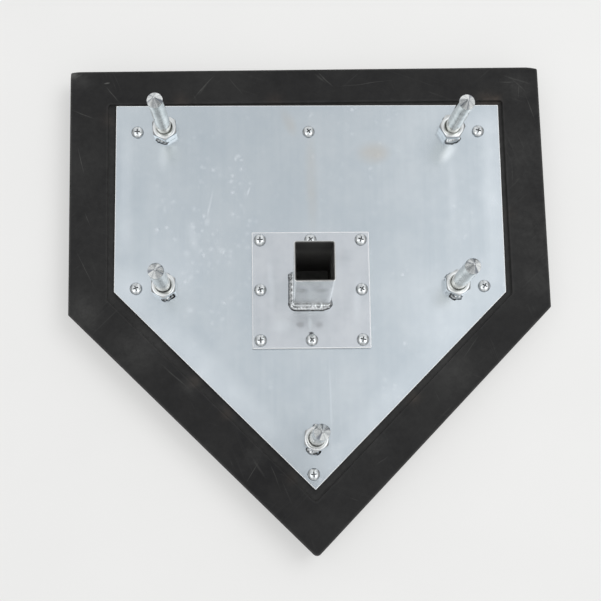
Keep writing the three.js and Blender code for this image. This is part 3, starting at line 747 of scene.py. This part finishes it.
def blackMillScale(use):
    # the tube's bare inside: mill scale with a dull oily sheen, darker towards the foot; painted light and
    # shade by height
    material, tree, shader, place = startMaterial("black mill scale",
                                                  {"IOR": 1.5, "Specular IOR Level": 0.35})
    flake = addNode(tree, "TexNoise",
                    {"Scale": perMetre(use["scaleSize"]), "Detail": 6.0, "Roughness": 0.65}, place)
    height = addNode(tree, "SeparateXYZ", links=place)
    share = addNode(tree, "Math", {"operation": "MULTIPLY", 1: 1 / (use["length"] * mm)},
                    {0: height.outputs["Z"]})
    # painted light and shade by height: a paler band partway up, darker at the mouth
    colour = addNode(tree, "ValToRGB", {"ramp": use["scale"]}, share)
    patchy = addNode(tree, "ValToRGB", {"ramp": [(0.35, 0.72), (0.7, 1.0)]}, flake)
    dusted = addNode(tree, "Mix", {"data_type": "RGBA", "blend_type": "MULTIPLY", 0: 1.0},
                     {6: colour, 7: patchy})
    dressShader(tree, shader, dusted.outputs[2], flake, use["scaleBump"], flake, use["scaleRoughness"])
    return material


def makeTube(use, finishes):
    size, wall, corner, length, cut = use["size"], use["wall"], use["corner"], use["length"], use["cutRound"]
    rings = []

    def ring(by, z):
        points = outline(squareCorners(size - 2 * by), max(corner - by, 0.4), use["arcSteps"],
                         use["sideSteps"])
        for p in points:
            off = p.y - use["seamAt"]
            if by > wall - 0.01 and p.x > 0 and abs(off) < use["seamWidth"]:
                p.x -= use["seamHeight"] * (0.5 + 0.5 * math.cos(math.pi * off / use["seamWidth"]))
        lean = Vector((-use["lean"] * z / length, 0))
        rings.append(atHeight([p + lean for p in points], z))

    levels = [(length - use["endBand"]) * k / use["ringSteps"] for k in range(use["ringSteps"] + 1)]
    for z in levels:
        ring(0, z)
    for a in quarterTurn(use["cutSteps"]):
        ring(cut * (1 - math.cos(a)), length - cut * (1 - math.sin(a)))
    ring(use["zincEdge"], length)
    for a in quarterTurn(use["cutSteps"]):
        ring(wall - cut * (1 - math.sin(a)), length - cut * (1 - math.cos(a)))
    for z in reversed(levels):
        ring(wall, z)
    verts, faces = loft(rings, joined=True)
    film = outline(squareCorners(size - 2 * wall - 0.1), corner - wall, use["arcSteps"])
    cake, cakeFaces = loft([atHeight(film, z) for z in use["cake"]])
    faces += [tuple(len(verts) + i for i in side) for side in cakeFaces]
    verts += cake

    def pick(at, normal):
        across, along = abs(at.x + use["lean"] * at.z / length), abs(at.y)
        x, y = max(across - size / 2 + corner, 0), max(along - size / 2 + corner, 0)
        deep = min(corner, size / 2 - max(across, along)) if x == 0 or y == 0 else corner - math.hypot(x, y)
        return 1 if deep > use["zincEdge"] else 0

    return makeMesh("stanchion_tube_mesh", verts, faces, finishes, pick=pick)


tubePlace = standingOn("stanchion_tube", anchorTop) @ Matrix.Translation((tube["lean"] / 2 * mm, 0, 0))
addPiece("drawn_stanchion_tube", makeTube(tube, [drawnGalvanisedTube(tube), blackMillScale(tube)]),
         tubePlace, "home_plate", "stanchion_tube")

bead = {
    "leg": 3.6, "foot": 5.4, "ripple": 0.3, "ripplePitch": 2.9, "rippleLag": 1.1, "lump": 0.45, "step": 0.45,
    "sectionSteps": 14, "bendSteps": 10, "root": 0.5,
    "stub": 11.0, "stubShare": 0.5, "leftShort": 0.17, "rightShort": 0.42,  # how it thins at its two ends
    "startShare": 0.35, "taperLength": 4, "coldStart": 16.0,
    "bright": "#eef2f4", "dark": "#a9afb4", "toe": "#16181c", "roughness": (0.38, 0.08), "sootSize": 2.2,
    "bump": (0.15, 0.2),
}


def rippledWeldMetal(use):
    # weld metal as laid: bright silver crests between dark oxide in the ripples, and dark toes partly
    # painted shade
    material, tree, shader, place = startMaterial("rippled weld metal", {"Metallic": 1.0})
    soot = addNode(tree, "TexNoise", {"Scale": perMetre(use["sootSize"]), "Detail": 4.0, "Roughness": 0.65},
                   place)
    colour = addNode(tree, "ValToRGB", {"ramp": [(0.34, use["dark"]), (0.48, use["bright"])]}, soot)
    # dark toes: on the bead partly painted shade along its sides, partly oxide; on the tacks darker low down
    # and in patches
    toe = addNode(tree, "Attribute", {"attribute_name": "toe"})
    stained = addNode(tree, "Mix", {"data_type": "RGBA", 7: linear(use["toe"])},
                      {0: toe.outputs["Fac"], 6: colour})
    dressShader(tree, shader, stained.outputs[2], soot, use["bump"], soot, use["roughness"])
    return material


# a number kept between two others
def clamp(value, low=0.0, high=1.0):
    return min(high, max(low, value))


def makeTubeWeld(use, finish):
    half, corner = tube["size"] / 2, tube["corner"]
    flat = half - corner
    path = []  # point on the tube's foot and the way out from it

    def straight(x0, y0, x1, y1, out):
        steps = max(2, round(math.hypot(x1 - x0, y1 - y0) / use["step"]))
        path.extend((Vector((x0, y0)).lerp(Vector((x1, y1)), k / steps), Vector(out)) for k in range(steps))

    def turn(x, y, start):
        for k in range(use["bendSteps"]):
            a = start + math.pi / 2 * k / use["bendSteps"]
            out = Vector((math.cos(a), math.sin(a)))
            path.append((Vector((x, y)) + out * corner, out))

    straight(-half, flat, -half, -flat, (-1, 0))
    turn(-flat, -flat, math.pi)
    straight(-flat, -half, flat, -half, (0, -1))
    turn(flat, -flat, 1.5 * math.pi)
    straight(half, -flat, half, use["stub"] - flat, (1, 0))
    rings, toes, gone = [], [], 0.0
    last = path[0][0]
    total = sum((b[0] - a[0]).length for a, b in zip(path, path[1:]))
    for at, out in path:
        gone += (at - last).length
        last = at
        ahead = clamp((gone - total + use["stub"]) / use["taperLength"])  # the stub on the right is thin
        ends = [use["startShare"] + run / use["taperLength"] for run in (gone, total - gone)]
        taper = min(1.0, *ends) * (1 - (1 - use["stubShare"]) * ahead)
        bend = max(math.exp(-((gone - at0) / 5) ** 2) for at0 in (2 * flat + 2, 4 * flat + 6))
        cold = max(0.0, 1 - gone / use["coldStart"])  # lumpier where the weld was struck
        struck = 1.3 * cold * noise.noise(Vector((gone * 0.5, 8.2, 0)))
        lump = use["lump"] * (noise.noise(Vector((gone * 0.16, 3.1, 0))) + struck)
        foot = use["foot"] * (1 - use["leftShort"] * clamp((2 * flat + 3 - gone) / 5))
        foot *= 1 - use["rightShort"] * clamp((gone - 4 * flat) / 6)
        upperLine = clamp(0.7 + noise.noise(Vector((gone * 0.35, 1.0, 2.0))), 0.2)
        lowerLine = clamp(0.8 + noise.noise(Vector((gone * 0.35, 7.0, 2.0))), 0.3)
        points = []
        for k in range(use["sectionSteps"] + 1):
            share = k / use["sectionSteps"]
            a = math.pi / 2 * k / use["sectionSteps"]
            # ripples lag at the middle of the bead
            behind = gone + use["rippleLag"] * math.sin(2 * a)
            wave = math.cos(2 * math.pi * behind / use["ripplePitch"])
            swell = (lump + use["ripple"] * (0.6 + 1.6 * cold) * wave * math.sin(2 * a)) * taper
            edge = out * ((foot * taper + swell) * math.sin(a))
            points.append(Vector((at.x + edge.x, at.y + edge.y, (use["leg"] * taper + swell) * math.cos(a))))
            # a dark broken line along each side as painted shade, and oxide where the weld was struck and at
            # the bends
            dirt = max(0.0, noise.noise(Vector((gone * 0.7, 2 * a, 5.0))))
            upper = math.exp(-((share - 0.2) / 0.1) ** 2) * upperLine
            lower = clamp((share - 0.54) / 0.1) * lowerLine
            toes.append(min(1.0, max(upper, lower) + (1.6 * cold + 1.2 * bend + 0.15) * dirt))
        toes.append(1.0)
        points.append(Vector((at.x - out.x * use["root"], at.y - out.y * use["root"], 0.0)))
        rings.append(points)
    mesh = makeMesh("tube_weld_mesh", *loft(rings), [finish], sharp=60)
    paint(mesh, "toe", toes)
    return mesh


weldMetal = rippledWeldMetal(bead)
addPiece("laid_tube_weld", makeTubeWeld(bead, weldMetal), tubePlace, "home_plate", "tube_weld")
print("stanchion done")


# Nuts, tack welds and spikes

hardware = {"light": "#e8ebec", "dark": "#d4d8da", "shank": "#dcdcd7", "shankDark": "#c1c2be",
            "roughness": (0.1, 0.23), "cloudSize": 9.0, "turnLine": 0.7, "turnBump": (0.02, 0.03),
            "point": "#f2f5f6", "pointMid": "#cdd1d3", "pointDark": "#9297a0",
            "pointRoughness": (0.33, 0.21), "around": 0.05, "mottleSize": 3.0, "strokes": 1.5,
            "cutLine": 0.5, "cutBump": (0.05, 0.05)}


def brightZincPlate(use, name, light, dark):
    # bright zinc plate on turned steel: clean silver, faint lines from turning, slightly cloudy
    material, tree, shader, place = startMaterial(name, {"Metallic": 1.0})
    cloud = addNode(tree, "TexNoise", {"Scale": perMetre(use["cloudSize"]), "Detail": 4.0}, place)
    colour = addNode(tree, "ValToRGB", {"ramp": [(0.35, dark), (0.6, light)]}, cloud)
    turned = addNode(tree, "Mapping", {"Scale": (use["around"], use["around"], 1.0)}, place)
    line = addNode(tree, "TexNoise", {"Scale": perMetre(use["turnLine"]), "Detail": 2.0}, turned)
    dressShader(tree, shader, colour, line, use["turnBump"], cloud, use["roughness"])
    return material


def groundPoint(use):
    # points ground from the end and plated over: silver, with painted reflection as light and dark strokes
    # down from the tip
    material, tree, shader, place = startMaterial("ground zinc-plated point", {"Metallic": 1.0})
    mottle = addNode(tree, "TexNoise",
                     {"Scale": perMetre(use["mottleSize"]), "Detail": 4.0, "Roughness": 0.6}, place)
    part = addNode(tree, "SeparateXYZ", links=place)
    turn = addNode(tree, "Math", {"operation": "ARCTAN2"}, {0: part.outputs["Y"], 1: part.outputs["X"]})
    # light and dark strokes round the point: painted reflection, like the streaks a turned cone mirrors
    reflectionStreak = addNode(tree, "TexNoise", {"noise_dimensions": "1D", "Scale": use["strokes"], "Detail": 2.0},
                     {"W": turn})
    both = addNode(tree, "Math", {"operation": "MULTIPLY_ADD", 1: 0.25}, {0: mottle, 2: reflectionStreak})
    stops = [(0.48, use["pointDark"]), (0.6, use["pointMid"]), (0.74, use["point"])]
    colour = addNode(tree, "ValToRGB", {"ramp": stops}, both)
    across = addNode(tree, "Mapping", {"Scale": (use["around"], use["around"], 1.0)}, place)
    cut = addNode(tree, "TexNoise", {"Scale": perMetre(use["cutLine"]), "Detail": 2.0}, across)
    dressShader(tree, shader, colour, cut, use["cutBump"], mottle, use["pointRoughness"])
    return material


nut = {"flat": 11.89, "height": 13.9, "bore": 7.92, "sink": 0.15, "chamfer": 30, "segments": 96,
       "pitch": 2.309, "threadDepth": 0.9, "threadSteps": 40,
       # how each nut was turned when it was welded on, in degrees
       "turns": {"front_left": 4, "front_right": 30, "rear_left": 0, "rear_right": 2, "tip": -3}}


# how deep a thread lies at a turn and a height: 0 on the crest, 1 in the root
def threadDepth(turn, z, pitch):
    phase = (z / pitch - turn / (2 * math.pi)) % 1.0
    return clamp(1.25 * abs(2 * phase - 1) - 0.125)


def makeNut(use, finish):
    flat, high, bore, count = use["flat"], use["height"], use["bore"], use["segments"]
    slope = math.tan(math.radians(use["chamfer"]))
    cornerAt = flat / math.cos(math.pi / 6) - 0.3
    sink = bore + use["sink"]

    def hexAt(a):
        off = (a + math.pi / 6) % (math.pi / 3) - math.pi / 6
        return min(flat / math.cos(off), cornerAt)

    def edgeZ(a):
        return high - (hexAt(a) - flat + 0.35) * slope

    # from the bore's foot out to the flats, up them, over the chamfer and back in to the bore
    profile = [(bore + 0.6, 0), (flat - 1.2, 0), (lambda a: hexAt(a) - 0.25, 0), (hexAt, 0.25),
               (hexAt, high * 0.5), (hexAt, lambda a: edgeZ(a) - 0.2), (lambda a: hexAt(a) - 0.15, edgeZ)]
    for t in (0.5, 0.9):
        profile.append((lambda a, t=t: (hexAt(a) - 0.15) * (1 - t) + (flat - 0.5) * t,
                        lambda a, t=t: edgeZ(a) * (1 - t) + (high - 0.05) * t))
    profile += [(flat - 0.7, high), (sink + 0.25, high), (sink, high - 0.12),
                (bore + 0.1, high - use["sink"])]
    for k in range(1, use["threadSteps"] + 1):
        z = (high - use["sink"]) * (1 - k / use["threadSteps"])
        profile.append((lambda a, z=z: bore + use["threadDepth"] * threadDepth(a, z, use["pitch"]), z))
    rings = [turnedRing(count, radius, z) for radius, z in profile]
    return makeMesh("hexagon_nut_mesh", *loft(rings, joined=True), [finish], sharp=40)


spike = {"radius": 7.62, "length": 101.6, "point": 8.5, "tip": 1.6, "chamfer": 1.2, "threadLength": 14.6,
         "threadDepth": 0.85, "threadSteps": 44, "runOut": 2.5, "pitch": 2.309, "segments": 64,
         "shankSteps": 8, "pointRings": (0.02, 0.25, 0.5, 0.75, 0.94), "endRound": 0.55,
         # how each spike is turned, in degrees, and how far its point leans in the slack thread
         "spins": {"front_left": 0, "front_right": 75, "rear_left": 200, "rear_right": 310, "tip": 250},
         "leans": {"front_left": (-2.4, 0.0), "front_right": (1.0, -3.1), "rear_left": (0.0, -2.0),
                   "rear_right": (0.6, 0.5), "tip": (1.6, 1.7)}}


def makeSpike(use, finishes):
    radius, length, count, threaded = use["radius"], use["length"], use["segments"], use["threadLength"]
    profile = [(3.0, 0.0), (radius - use["chamfer"], 0.0)]
    for k in range(1, use["threadSteps"] + 1):
        z = threaded * k / use["threadSteps"]
        deep = use["threadDepth"] * min(1.0, (threaded - z) / use["runOut"])
        limit = radius - max(0.0, use["chamfer"] - z)
        profile.append((lambda a, z=z, deep=deep, limit=limit:
                        min(limit, radius - deep * threadDepth(a, z, use["pitch"])), z))
    shoulder, tip = length - use["point"], use["tip"] / 2
    for k in range(1, use["shankSteps"] + 1):
        profile.append((radius, threaded + (shoulder - 0.6 - threaded) * k / use["shankSteps"]))
    profile.append((radius - 0.05, shoulder))  # the shoulder is just broken
    profile += [(radius + (tip - radius) * t, shoulder + use["point"] * t) for t in use["pointRings"]]
    for a in quarterTurn(4)[1:-1]:  # rounded end
        profile.append((tip * 1.35 * math.cos(a), length - use["endRound"] * (1 - math.sin(a))))
    profile.append((0.08, length))
    rings = [turnedRing(count, far, z) for far, z in profile]
    return makeMesh("spike_mesh", *loft(rings), finishes, sharp=26,
                    pick=lambda at, normal: 1 if at.z > shoulder and normal.z > 0.2 else 0)


tack = {"length": 12.6, "reach": 3.5, "height": 4.2, "ripple": 0.45, "ripplePitch": 3.4, "second": 0.72,
        "bite": 1.0, "rows": 16, "columns": 40, "lumps": 0.3, "inward": 1.2,
        "sizes": {"front_left": 1.0, "front_right": 1.25, "rear_left": 1.1, "rear_right": 1.1, "tip": 1.25},
        # where the two tacks of each nut lie, in degrees
        "angles": {"front_left": (-106, 63), "front_right": (-81, 106), "rear_left": (-70, 84),
                   "rear_right": (-94, 135), "tip": (-103, 79)}}


def makeTack(name, angle, nutTurn, scale, use, finish):
    off = (angle - nutTurn + 30) % 60 - 30
    reach = nut["flat"] / math.cos(math.radians(off)) - use["bite"]
    long, wide, high = use["length"] / 2 * scale, use["reach"] * scale, use["height"] * scale
    rings, toes = [], []
    for r in range(use["rows"] + 1):
        lift = math.pi / 2 * r / (use["rows"] + 0.3)
        points = []
        for c in range(use["columns"]):
            a = 2 * math.pi * c / use["columns"]
            x, y, z = math.cos(a) * math.cos(lift), math.sin(a) * math.cos(lift), math.sin(lift)
            rough = 1 + use["lumps"] * noise.noise(Vector((x * 1.3 + angle, y * 1.9, z)))
            wave = math.cos(2 * math.pi * (y * long + 0.8 * x) / use["ripplePitch"])
            wave *= use["ripple"] * math.cos(lift * 0.8)
            out = wide * x * rough + wave * 0.5 * max(x, 0)
            points.append(Vector((reach + max(out, -use["inward"]), long * y * rough,
                                  max(0, high * z * rough + wave * z))))
            dirt = noise.noise(Vector((x * 2.1, y * 3.0 + angle, z * 2.1)))
            toes.append(min(1.0, max(0.0, 3.0 * (0.62 - z)) + max(0.0, 3.0 * dirt - 0.25)))
        rings.append(points)
    mesh = makeMesh(name, *loft(rings), [finish], sharp=60)
    paint(mesh, "toe", toes)
    return mesh


# a spike standing in its nut, tipped about the middle of the thread and clear of the plate below
def leaning(side, use):
    x, y = use["leans"][side]
    upTo = use["length"] - nut["height"] / 2
    tilt = Vector((0, 0, 1)).rotation_difference(Vector((x, y, upTo)).normalized()).to_matrix().to_4x4()
    lift = use["radius"] * math.hypot(x, y) / upTo
    pivot = Matrix.Translation(Vector((0, 0, nut["height"] / 2)) * mm)
    spin = Matrix.Rotation(math.radians(use["spins"][side]), 4, "Z")
    return standingOn("spike_" + side, plateTop + lift) @ pivot @ tilt @ pivot.inverted() @ spin


nutMesh = makeNut(nut, brightZincPlate(hardware, "bright zinc plate", hardware["light"], hardware["dark"]))
zincShank = brightZincPlate(hardware, "zinc plate on drawn bar", hardware["shank"], hardware["shankDark"])
spikeMesh = makeSpike(spike, [zincShank, groundPoint(hardware)])
for side in places:
    nutTurn, nutNode = nut["turns"][side], "spike_nut_" + side
    addPiece("hexagon_nut_" + side, nutMesh, standingOn(nutNode, plateTop, nutTurn), "home_plate",
             nutNode)
    addPiece("ground_spike_" + side, spikeMesh, leaning(side, spike), side + "_spike",
             "spike_" + side)
    for letter, angle, scale in zip("ab", tack["angles"][side], (1.0, tack["second"])):
        name = side + "_" + letter
        mesh = makeTack("tack_mesh_" + name, angle, nutTurn, scale * tack["sizes"][side], tack, weldMetal)
        addPiece("tack_weld_" + name, mesh, standingOn(nutNode, plateTop, angle), "home_plate",
                 "nut_weld_" + name)
print("nuts, tacks and spikes done")


# Pan-head screws

screw = {"radius": 6.25, "height": 4.0, "edge": 0.9, "shank": 3.175, "pitch": 1.3, "threadDepth": 0.55,
         "tip": 3.0, "threadStep": 0.32, "headSteps": 12, "segments": 48, "plateLength": 16.25,
         "anchorLength": 21.05, "turn": 37,
         "recessLength": 6.6, "recessWidth": 1.15, "recessDepth": 2.2, "sliver": 0.01,
         # the recess tapers: heights over its floor and the head's top, and shares of its length and width
         "recessFloor": (0.34, 0.55), "recessMouth": (0.4, 1.06, 1.1),
         "light": "#edf1f3", "dark": "#d3d8db", "roughness": (0.02, 0.21), "cloudSize": 2.6,
         "bump": (0.2, 0.12),
         # the recess colours are painted shade, darker than the head
         "recess": "#606366", "recessShadeLight": "#8f9294", "recessRoughness": (0.18, 0.37),
         "footShade": "#1e1f21", "footShadeFrom": 0.6, "footShadeHeight": 2.6}


def zincScrewPlate(use, name, light, dark, roughness):
    # zinc-plated pressed screw head: bright silver, a little cloudy, painted shade at its foot; the recess
    # is painted darker
    material, tree, shader, place = startMaterial(name, {"Metallic": 1.0})
    cloud = addNode(tree, "TexNoise", {"Scale": perMetre(use["cloudSize"]), "Detail": 4.0}, place)
    colour = addNode(tree, "ValToRGB", {"ramp": [(0.38, dark), (0.6, light)]}, cloud)
    part = addNode(tree, "SeparateXYZ", links=place)
    # painted shade, darkening the head towards its foot
    foot = addNode(tree, "MapRange", {"interpolation_type": "SMOOTHSTEP", "From Min": use["footShadeFrom"] * mm,
                                      "From Max": use["footShadeHeight"] * mm, "To Min": 0.85, "To Max": 0.0},
                   part.outputs["Z"])
    footShaded = stainOver(tree, colour, use["footShade"], foot, cloud)
    dressShader(tree, shader, footShaded, cloud, use["bump"], cloud, roughness)
    return material


# one wedge of the cross recess, as an object to cut with
def makeWedge(name, turn, use):
    wedge = bmesh.new()
    points = []
    over, mouthLong, mouthWide = use["recessMouth"]
    floorAt, mouthAt = use["height"] - use["recessDepth"], use["height"] + over
    for z, longBy, wideBy in ((floorAt,) + use["recessFloor"], (mouthAt, mouthLong, mouthWide)):
        for sx, sy in ((1, 1), (-1, 1), (-1, -1), (1, -1)):
            x, y = sx * use["recessLength"] * longBy / 2, sy * use["recessWidth"] * wideBy / 2
            points.append(wedge.verts.new(Matrix.Rotation(turn, 3, "Z") @ (Vector((x, y, z)) * mm)))
    for quad in ((3, 2, 1, 0), (4, 5, 6, 7), (0, 1, 5, 4), (1, 2, 6, 5), (2, 3, 7, 6), (3, 0, 4, 7)):
        wedge.faces.new([points[q] for q in quad])
    mesh = bpy.data.meshes.new(name)
    wedge.to_mesh(mesh)
    wedge.free()
    cutter = bpy.data.objects.new(name, mesh)
    scene.collection.objects.link(cutter)
    return cutter


def makeScrew(name, length, use, finishes):
    radius, shank, top, low = use["radius"], use["shank"], use["height"], use["edge"]
    profile = [(0.15, -length)]
    steps = round((length - 1.0) / use["threadStep"])
    for k in range(1, steps + 1):  # threaded shank, thinning to its tip
        z = -length + (length - 1.0) * k / steps
        thin = min(1.0, (z + length) / use["tip"])
        profile.append((lambda a, z=z, thin=thin:
                        thin * (shank - use["threadDepth"] * threadDepth(a, z, use["pitch"])), z))
    profile += [(shank, -0.6), (shank, -0.05), (shank + 0.5, 0.0), (radius - 0.3, 0.0), (radius, 0.25)]
    for a in quarterTurn(use["headSteps"]):  # pan head
        profile.append((radius * max(math.cos(a), 0.02) ** 0.92, low + (top - low) * math.sin(a)))
    rings = [turnedRing(use["segments"], far, z) for far, z in profile]
    body = bpy.data.objects.new(name, makeMesh(name, *loft(rings), finishes))
    scene.collection.objects.link(body)
    cutters = [makeWedge(name + "_wedge", turn, use) for turn in (0, math.pi / 2)]
    for cutter in cutters:
        cut = body.modifiers.new("recess", "BOOLEAN")
        cut.object, cut.operation, cut.solver = cutter, "DIFFERENCE", "EXACT"
    mesh = bpy.data.meshes.new_from_object(body.evaluated_get(bpy.context.evaluated_depsgraph_get()))
    mesh.name = name + "_mesh"
    for spare in cutters + [body]:
        bpy.data.objects.remove(spare)
    clean = bmesh.new()  # no slivers where the wedges cut
    clean.from_mesh(mesh)
    bmesh.ops.remove_doubles(clean, verts=clean.verts, dist=use["sliver"] * mm)
    bmesh.ops.dissolve_degenerate(clean, edges=clean.edges, dist=use["sliver"] * mm)
    bmesh.ops.triangulate(clean, faces=[f for f in clean.faces if len(f.verts) > 4])
    clean.to_mesh(mesh)
    clean.free()
    inside = use["recessLength"] * 0.56
    for face in mesh.polygons:  # faces well below the dome are the recess
        at = Vector(face.center) / mm
        flat = math.hypot(at.x, at.y)
        domeAt = low + (top - low) * (1 - (flat / radius) ** 2.6)
        face.material_index = 1 if flat < inside and 0.5 < at.z < domeAt - 0.3 else 0
    shadeSmooth(mesh, 35)
    return mesh


screwFinishes = [
    zincScrewPlate(screw, "zinc-plated screw head", screw["light"], screw["dark"], screw["roughness"]),
    zincScrewPlate(screw, "pressed screw recess, painted shade", screw["recessShadeLight"], screw["recess"],
                   screw["recessRoughness"])]
for name, length, nodes, foot in (("plate_screw", screw["plateLength"], perimeterScrews, plateTop),
                                  ("anchor_screw", screw["anchorLength"], stanchionScrews, anchorTop)):
    mesh = makeScrew(name, length, screw, screwFinishes)
    for i, node in enumerate(nodes):
        addPiece("pan_head_" + node, mesh, standingOn(node, foot, i * screw["turn"]), "home_plate",
                 node)
print("screws done")


# Floor, light and camera

floorSheet = {"colour": "#f0f0ef", "shade": "#ededec", "glow": "#e8e8e7", "glowShare": 0.55,
              "roughness": 0.8, "blotchSize": 160, "drop": 0.2, "size": 5.0}  # the size is in metres


# 1 where a ray comes from the camera, a mirror or a glass, so that the paper shows pale there
def seenRays(tree):
    path = addNode(tree, "LightPath")
    first = addNode(tree, "Math", {"operation": "MAXIMUM"},
                    {0: path.outputs["Is Camera Ray"], 1: path.outputs["Is Glossy Ray"]})
    return addNode(tree, "Math", {"operation": "MAXIMUM"},
                   {0: first, 1: path.outputs["Is Transmission Ray"]})


def paleStudioFloor(use):
    # matt white paper: plain, a little uneven, lit through so that only a soft shadow is left
    material, tree, shader, place = startMaterial("matt white paper", {"Roughness": use["roughness"],
                                                                      "Specular IOR Level": 0.2})
    blotch = addNode(tree, "TexNoise", {"Scale": perMetre(use["blotchSize"]), "Detail": 3.0}, place)
    colour = addNode(tree, "ValToRGB", {"ramp": [(0.35, use["shade"]), (0.65, use["colour"])]}, blotch)
    dressShader(tree, shader, colour)
    glow = addNode(tree, "Emission", {"Color": linear(use["glow"])})
    share = addNode(tree, "Math", {"operation": "MULTIPLY", 1: use["glowShare"]}, {0: seenRays(tree)})
    both = addNode(tree, "MixShader", links={0: share, 1: shader, 2: glow})
    tree.links.new(both.outputs[0], tree.nodes["Material Output"].inputs["Surface"])
    return material


# a flat sheet of the stage, which isn't part of the object
def addStage(name, points, material, at):
    mesh = bpy.data.meshes.new(name + "_mesh")
    mesh.from_pydata([(p.x, p.y, 0) for p in points], [], [tuple(range(len(points)))])
    mesh.materials.append(material)
    sheet = bpy.data.objects.new(name, mesh)
    scene.collection.objects.link(sheet)
    sheet.location = at
    return sheet


floorCorners = [Vector(c) for c in reversed(squareCorners(floorSheet["size"]))]
addStage("floor", floorCorners, paleStudioFloor(floorSheet), (0, 0, -floorSheet["drop"] * mm))

studio = {"backdrop": "#efefee", "keyPower": 31.0, "keySize": 1.6, "keyAt": (1.3, 0.7, 2.8),
          # how bright the sky is from left to right and from the viewer's side to the far side: place, level
          "across": [(-1.0, 0.5), (-0.94, 0.42), (-0.84, 0.26), (-0.6, 0.75), (-0.35, 1.02), (-0.14, 1.03),
                     (-0.03, 0.87), (0.06, 0.88), (0.12, 0.97), (0.2, 1.18), (0.4, 1.17), (0.62, 0.8),
                     (0.84, 0.26), (0.94, 0.42), (1.0, 0.5)],
          "along": [(-1.0, 0.5), (-0.7, 0.62), (-0.4, 0.92), (-0.1, 1.1), (0.03, 1.07), (0.11, 1.0),
                    (0.2, 0.95), (0.35, 0.9), (0.6, 0.78), (1.0, 0.68)], "most": 1.2,
          # soft boxes at both sides of the camera: direction, spread, strength
          "boxes": [((-0.42, -0.2, 0.0), (0.26, 0.42, 9.0), 0.9),
                    ((0.42, -0.2, 0.0), (0.26, 0.42, 9.0), 1.0)],
          "card": (0.17, 0.055), "cardSides": 48, "cardAbove": 0.1, "cardColour": "#0c0c0c"}

world = bpy.data.worlds.new("soft studio")
scene.world = world
world.use_nodes = True
sky = world.node_tree
sky.nodes.clear()
look = addNode(sky, "TexCoord").outputs["Generated"]
way = addNode(sky, "SeparateXYZ", links=look)
levels = []
# darker at the left and right and low down, which gives the metal its contrast
for axis, stops in (("X", studio["across"]), ("Y", studio["along"])):
    share = addNode(sky, "MapRange", {"From Min": -1.0, "From Max": 1.0}, way.outputs[axis])
    ramp = addNode(sky, "ValToRGB", {"ramp": [((at + 1) / 2, v / studio["most"]) for at, v in stops]},
                   share)
    levels.append(addNode(sky, "Math", {"operation": "MULTIPLY", 1: studio["most"]}, {0: ramp}))
level = addNode(sky, "Math", {"operation": "MULTIPLY"}, {0: levels[0], 1: levels[1]})
for at, spread, strength in studio["boxes"]:
    box = softMark(sky, look, at, spread, strength, fadeFrom=0.25, unit=1.0)
    level = addNode(sky, "Math", {"operation": "ADD"}, {0: level, 1: box})
light = addNode(sky, "Background", {"Color": grey(1)}, {"Strength": level})
backdrop = addNode(sky, "Background", {"Color": linear(studio["backdrop"])})
# the camera sees a plain backdrop, the metal mirrors the studio's light
cameraRay = addNode(sky, "LightPath").outputs["Is Camera Ray"]
seen = addNode(sky, "MixShader", links={0: cameraRay, 1: light, 2: backdrop})
addNode(sky, "OutputWorld", links=seen)

keyData = bpy.data.lights.new("key", "AREA")
keyData.energy, keyData.shape, keyData.size = studio["keyPower"], "SQUARE", studio["keySize"]
key = bpy.data.objects.new("key", keyData)
scene.collection.objects.link(key)
key.location = studio["keyAt"]
key.rotation_euler = (-Vector(studio["keyAt"])).to_track_quat("-Z", "Y").to_euler()
key.visible_glossy = False

# camera at the photograph's viewing angle: nearly overhead, a little behind the point of the plate
camera = {"at": (-0.04975, -0.19059, 1.1860), "lens": 69.72, "sensor": 36.0, "turn": (-9.63, -1.84, -1.15)}
spin = Vector([math.radians(a) for a in camera["turn"]])
view = Matrix.Rotation(spin.length, 3, spin.normalized()) @ Matrix.Diagonal((1, -1, -1))
cameraData = bpy.data.cameras.new("camera")
cameraData.lens, cameraData.sensor_width = camera["lens"], camera["sensor"]
eye = bpy.data.objects.new("camera", cameraData)
scene.collection.objects.link(eye)
axes = Matrix((view[0], -view[1], -view[2])).transposed()
eye.matrix_world = Matrix.Translation(camera["at"]) @ axes.to_4x4()
scene.camera = eye

# black card behind the lens: only the polished metal shows it
cardWide, cardHigh = studio["card"]
cardEdge = [Vector((p.x * cardWide, p.y * cardHigh)) for p in circle(1, studio["cardSides"])]
cardBlack = startMaterial("matt black card",
                          {"Base Color": linear(studio["cardColour"]), "Roughness": 0.9})[0]
card = addStage("lens_card", cardEdge, cardBlack, Vector(camera["at"]) + Vector((0, 0, studio["cardAbove"])))
card.visible_camera = card.visible_diffuse = card.visible_shadow = card.visible_transmission = False
scene.view_settings.view_transform = "Standard"
print("stage done")
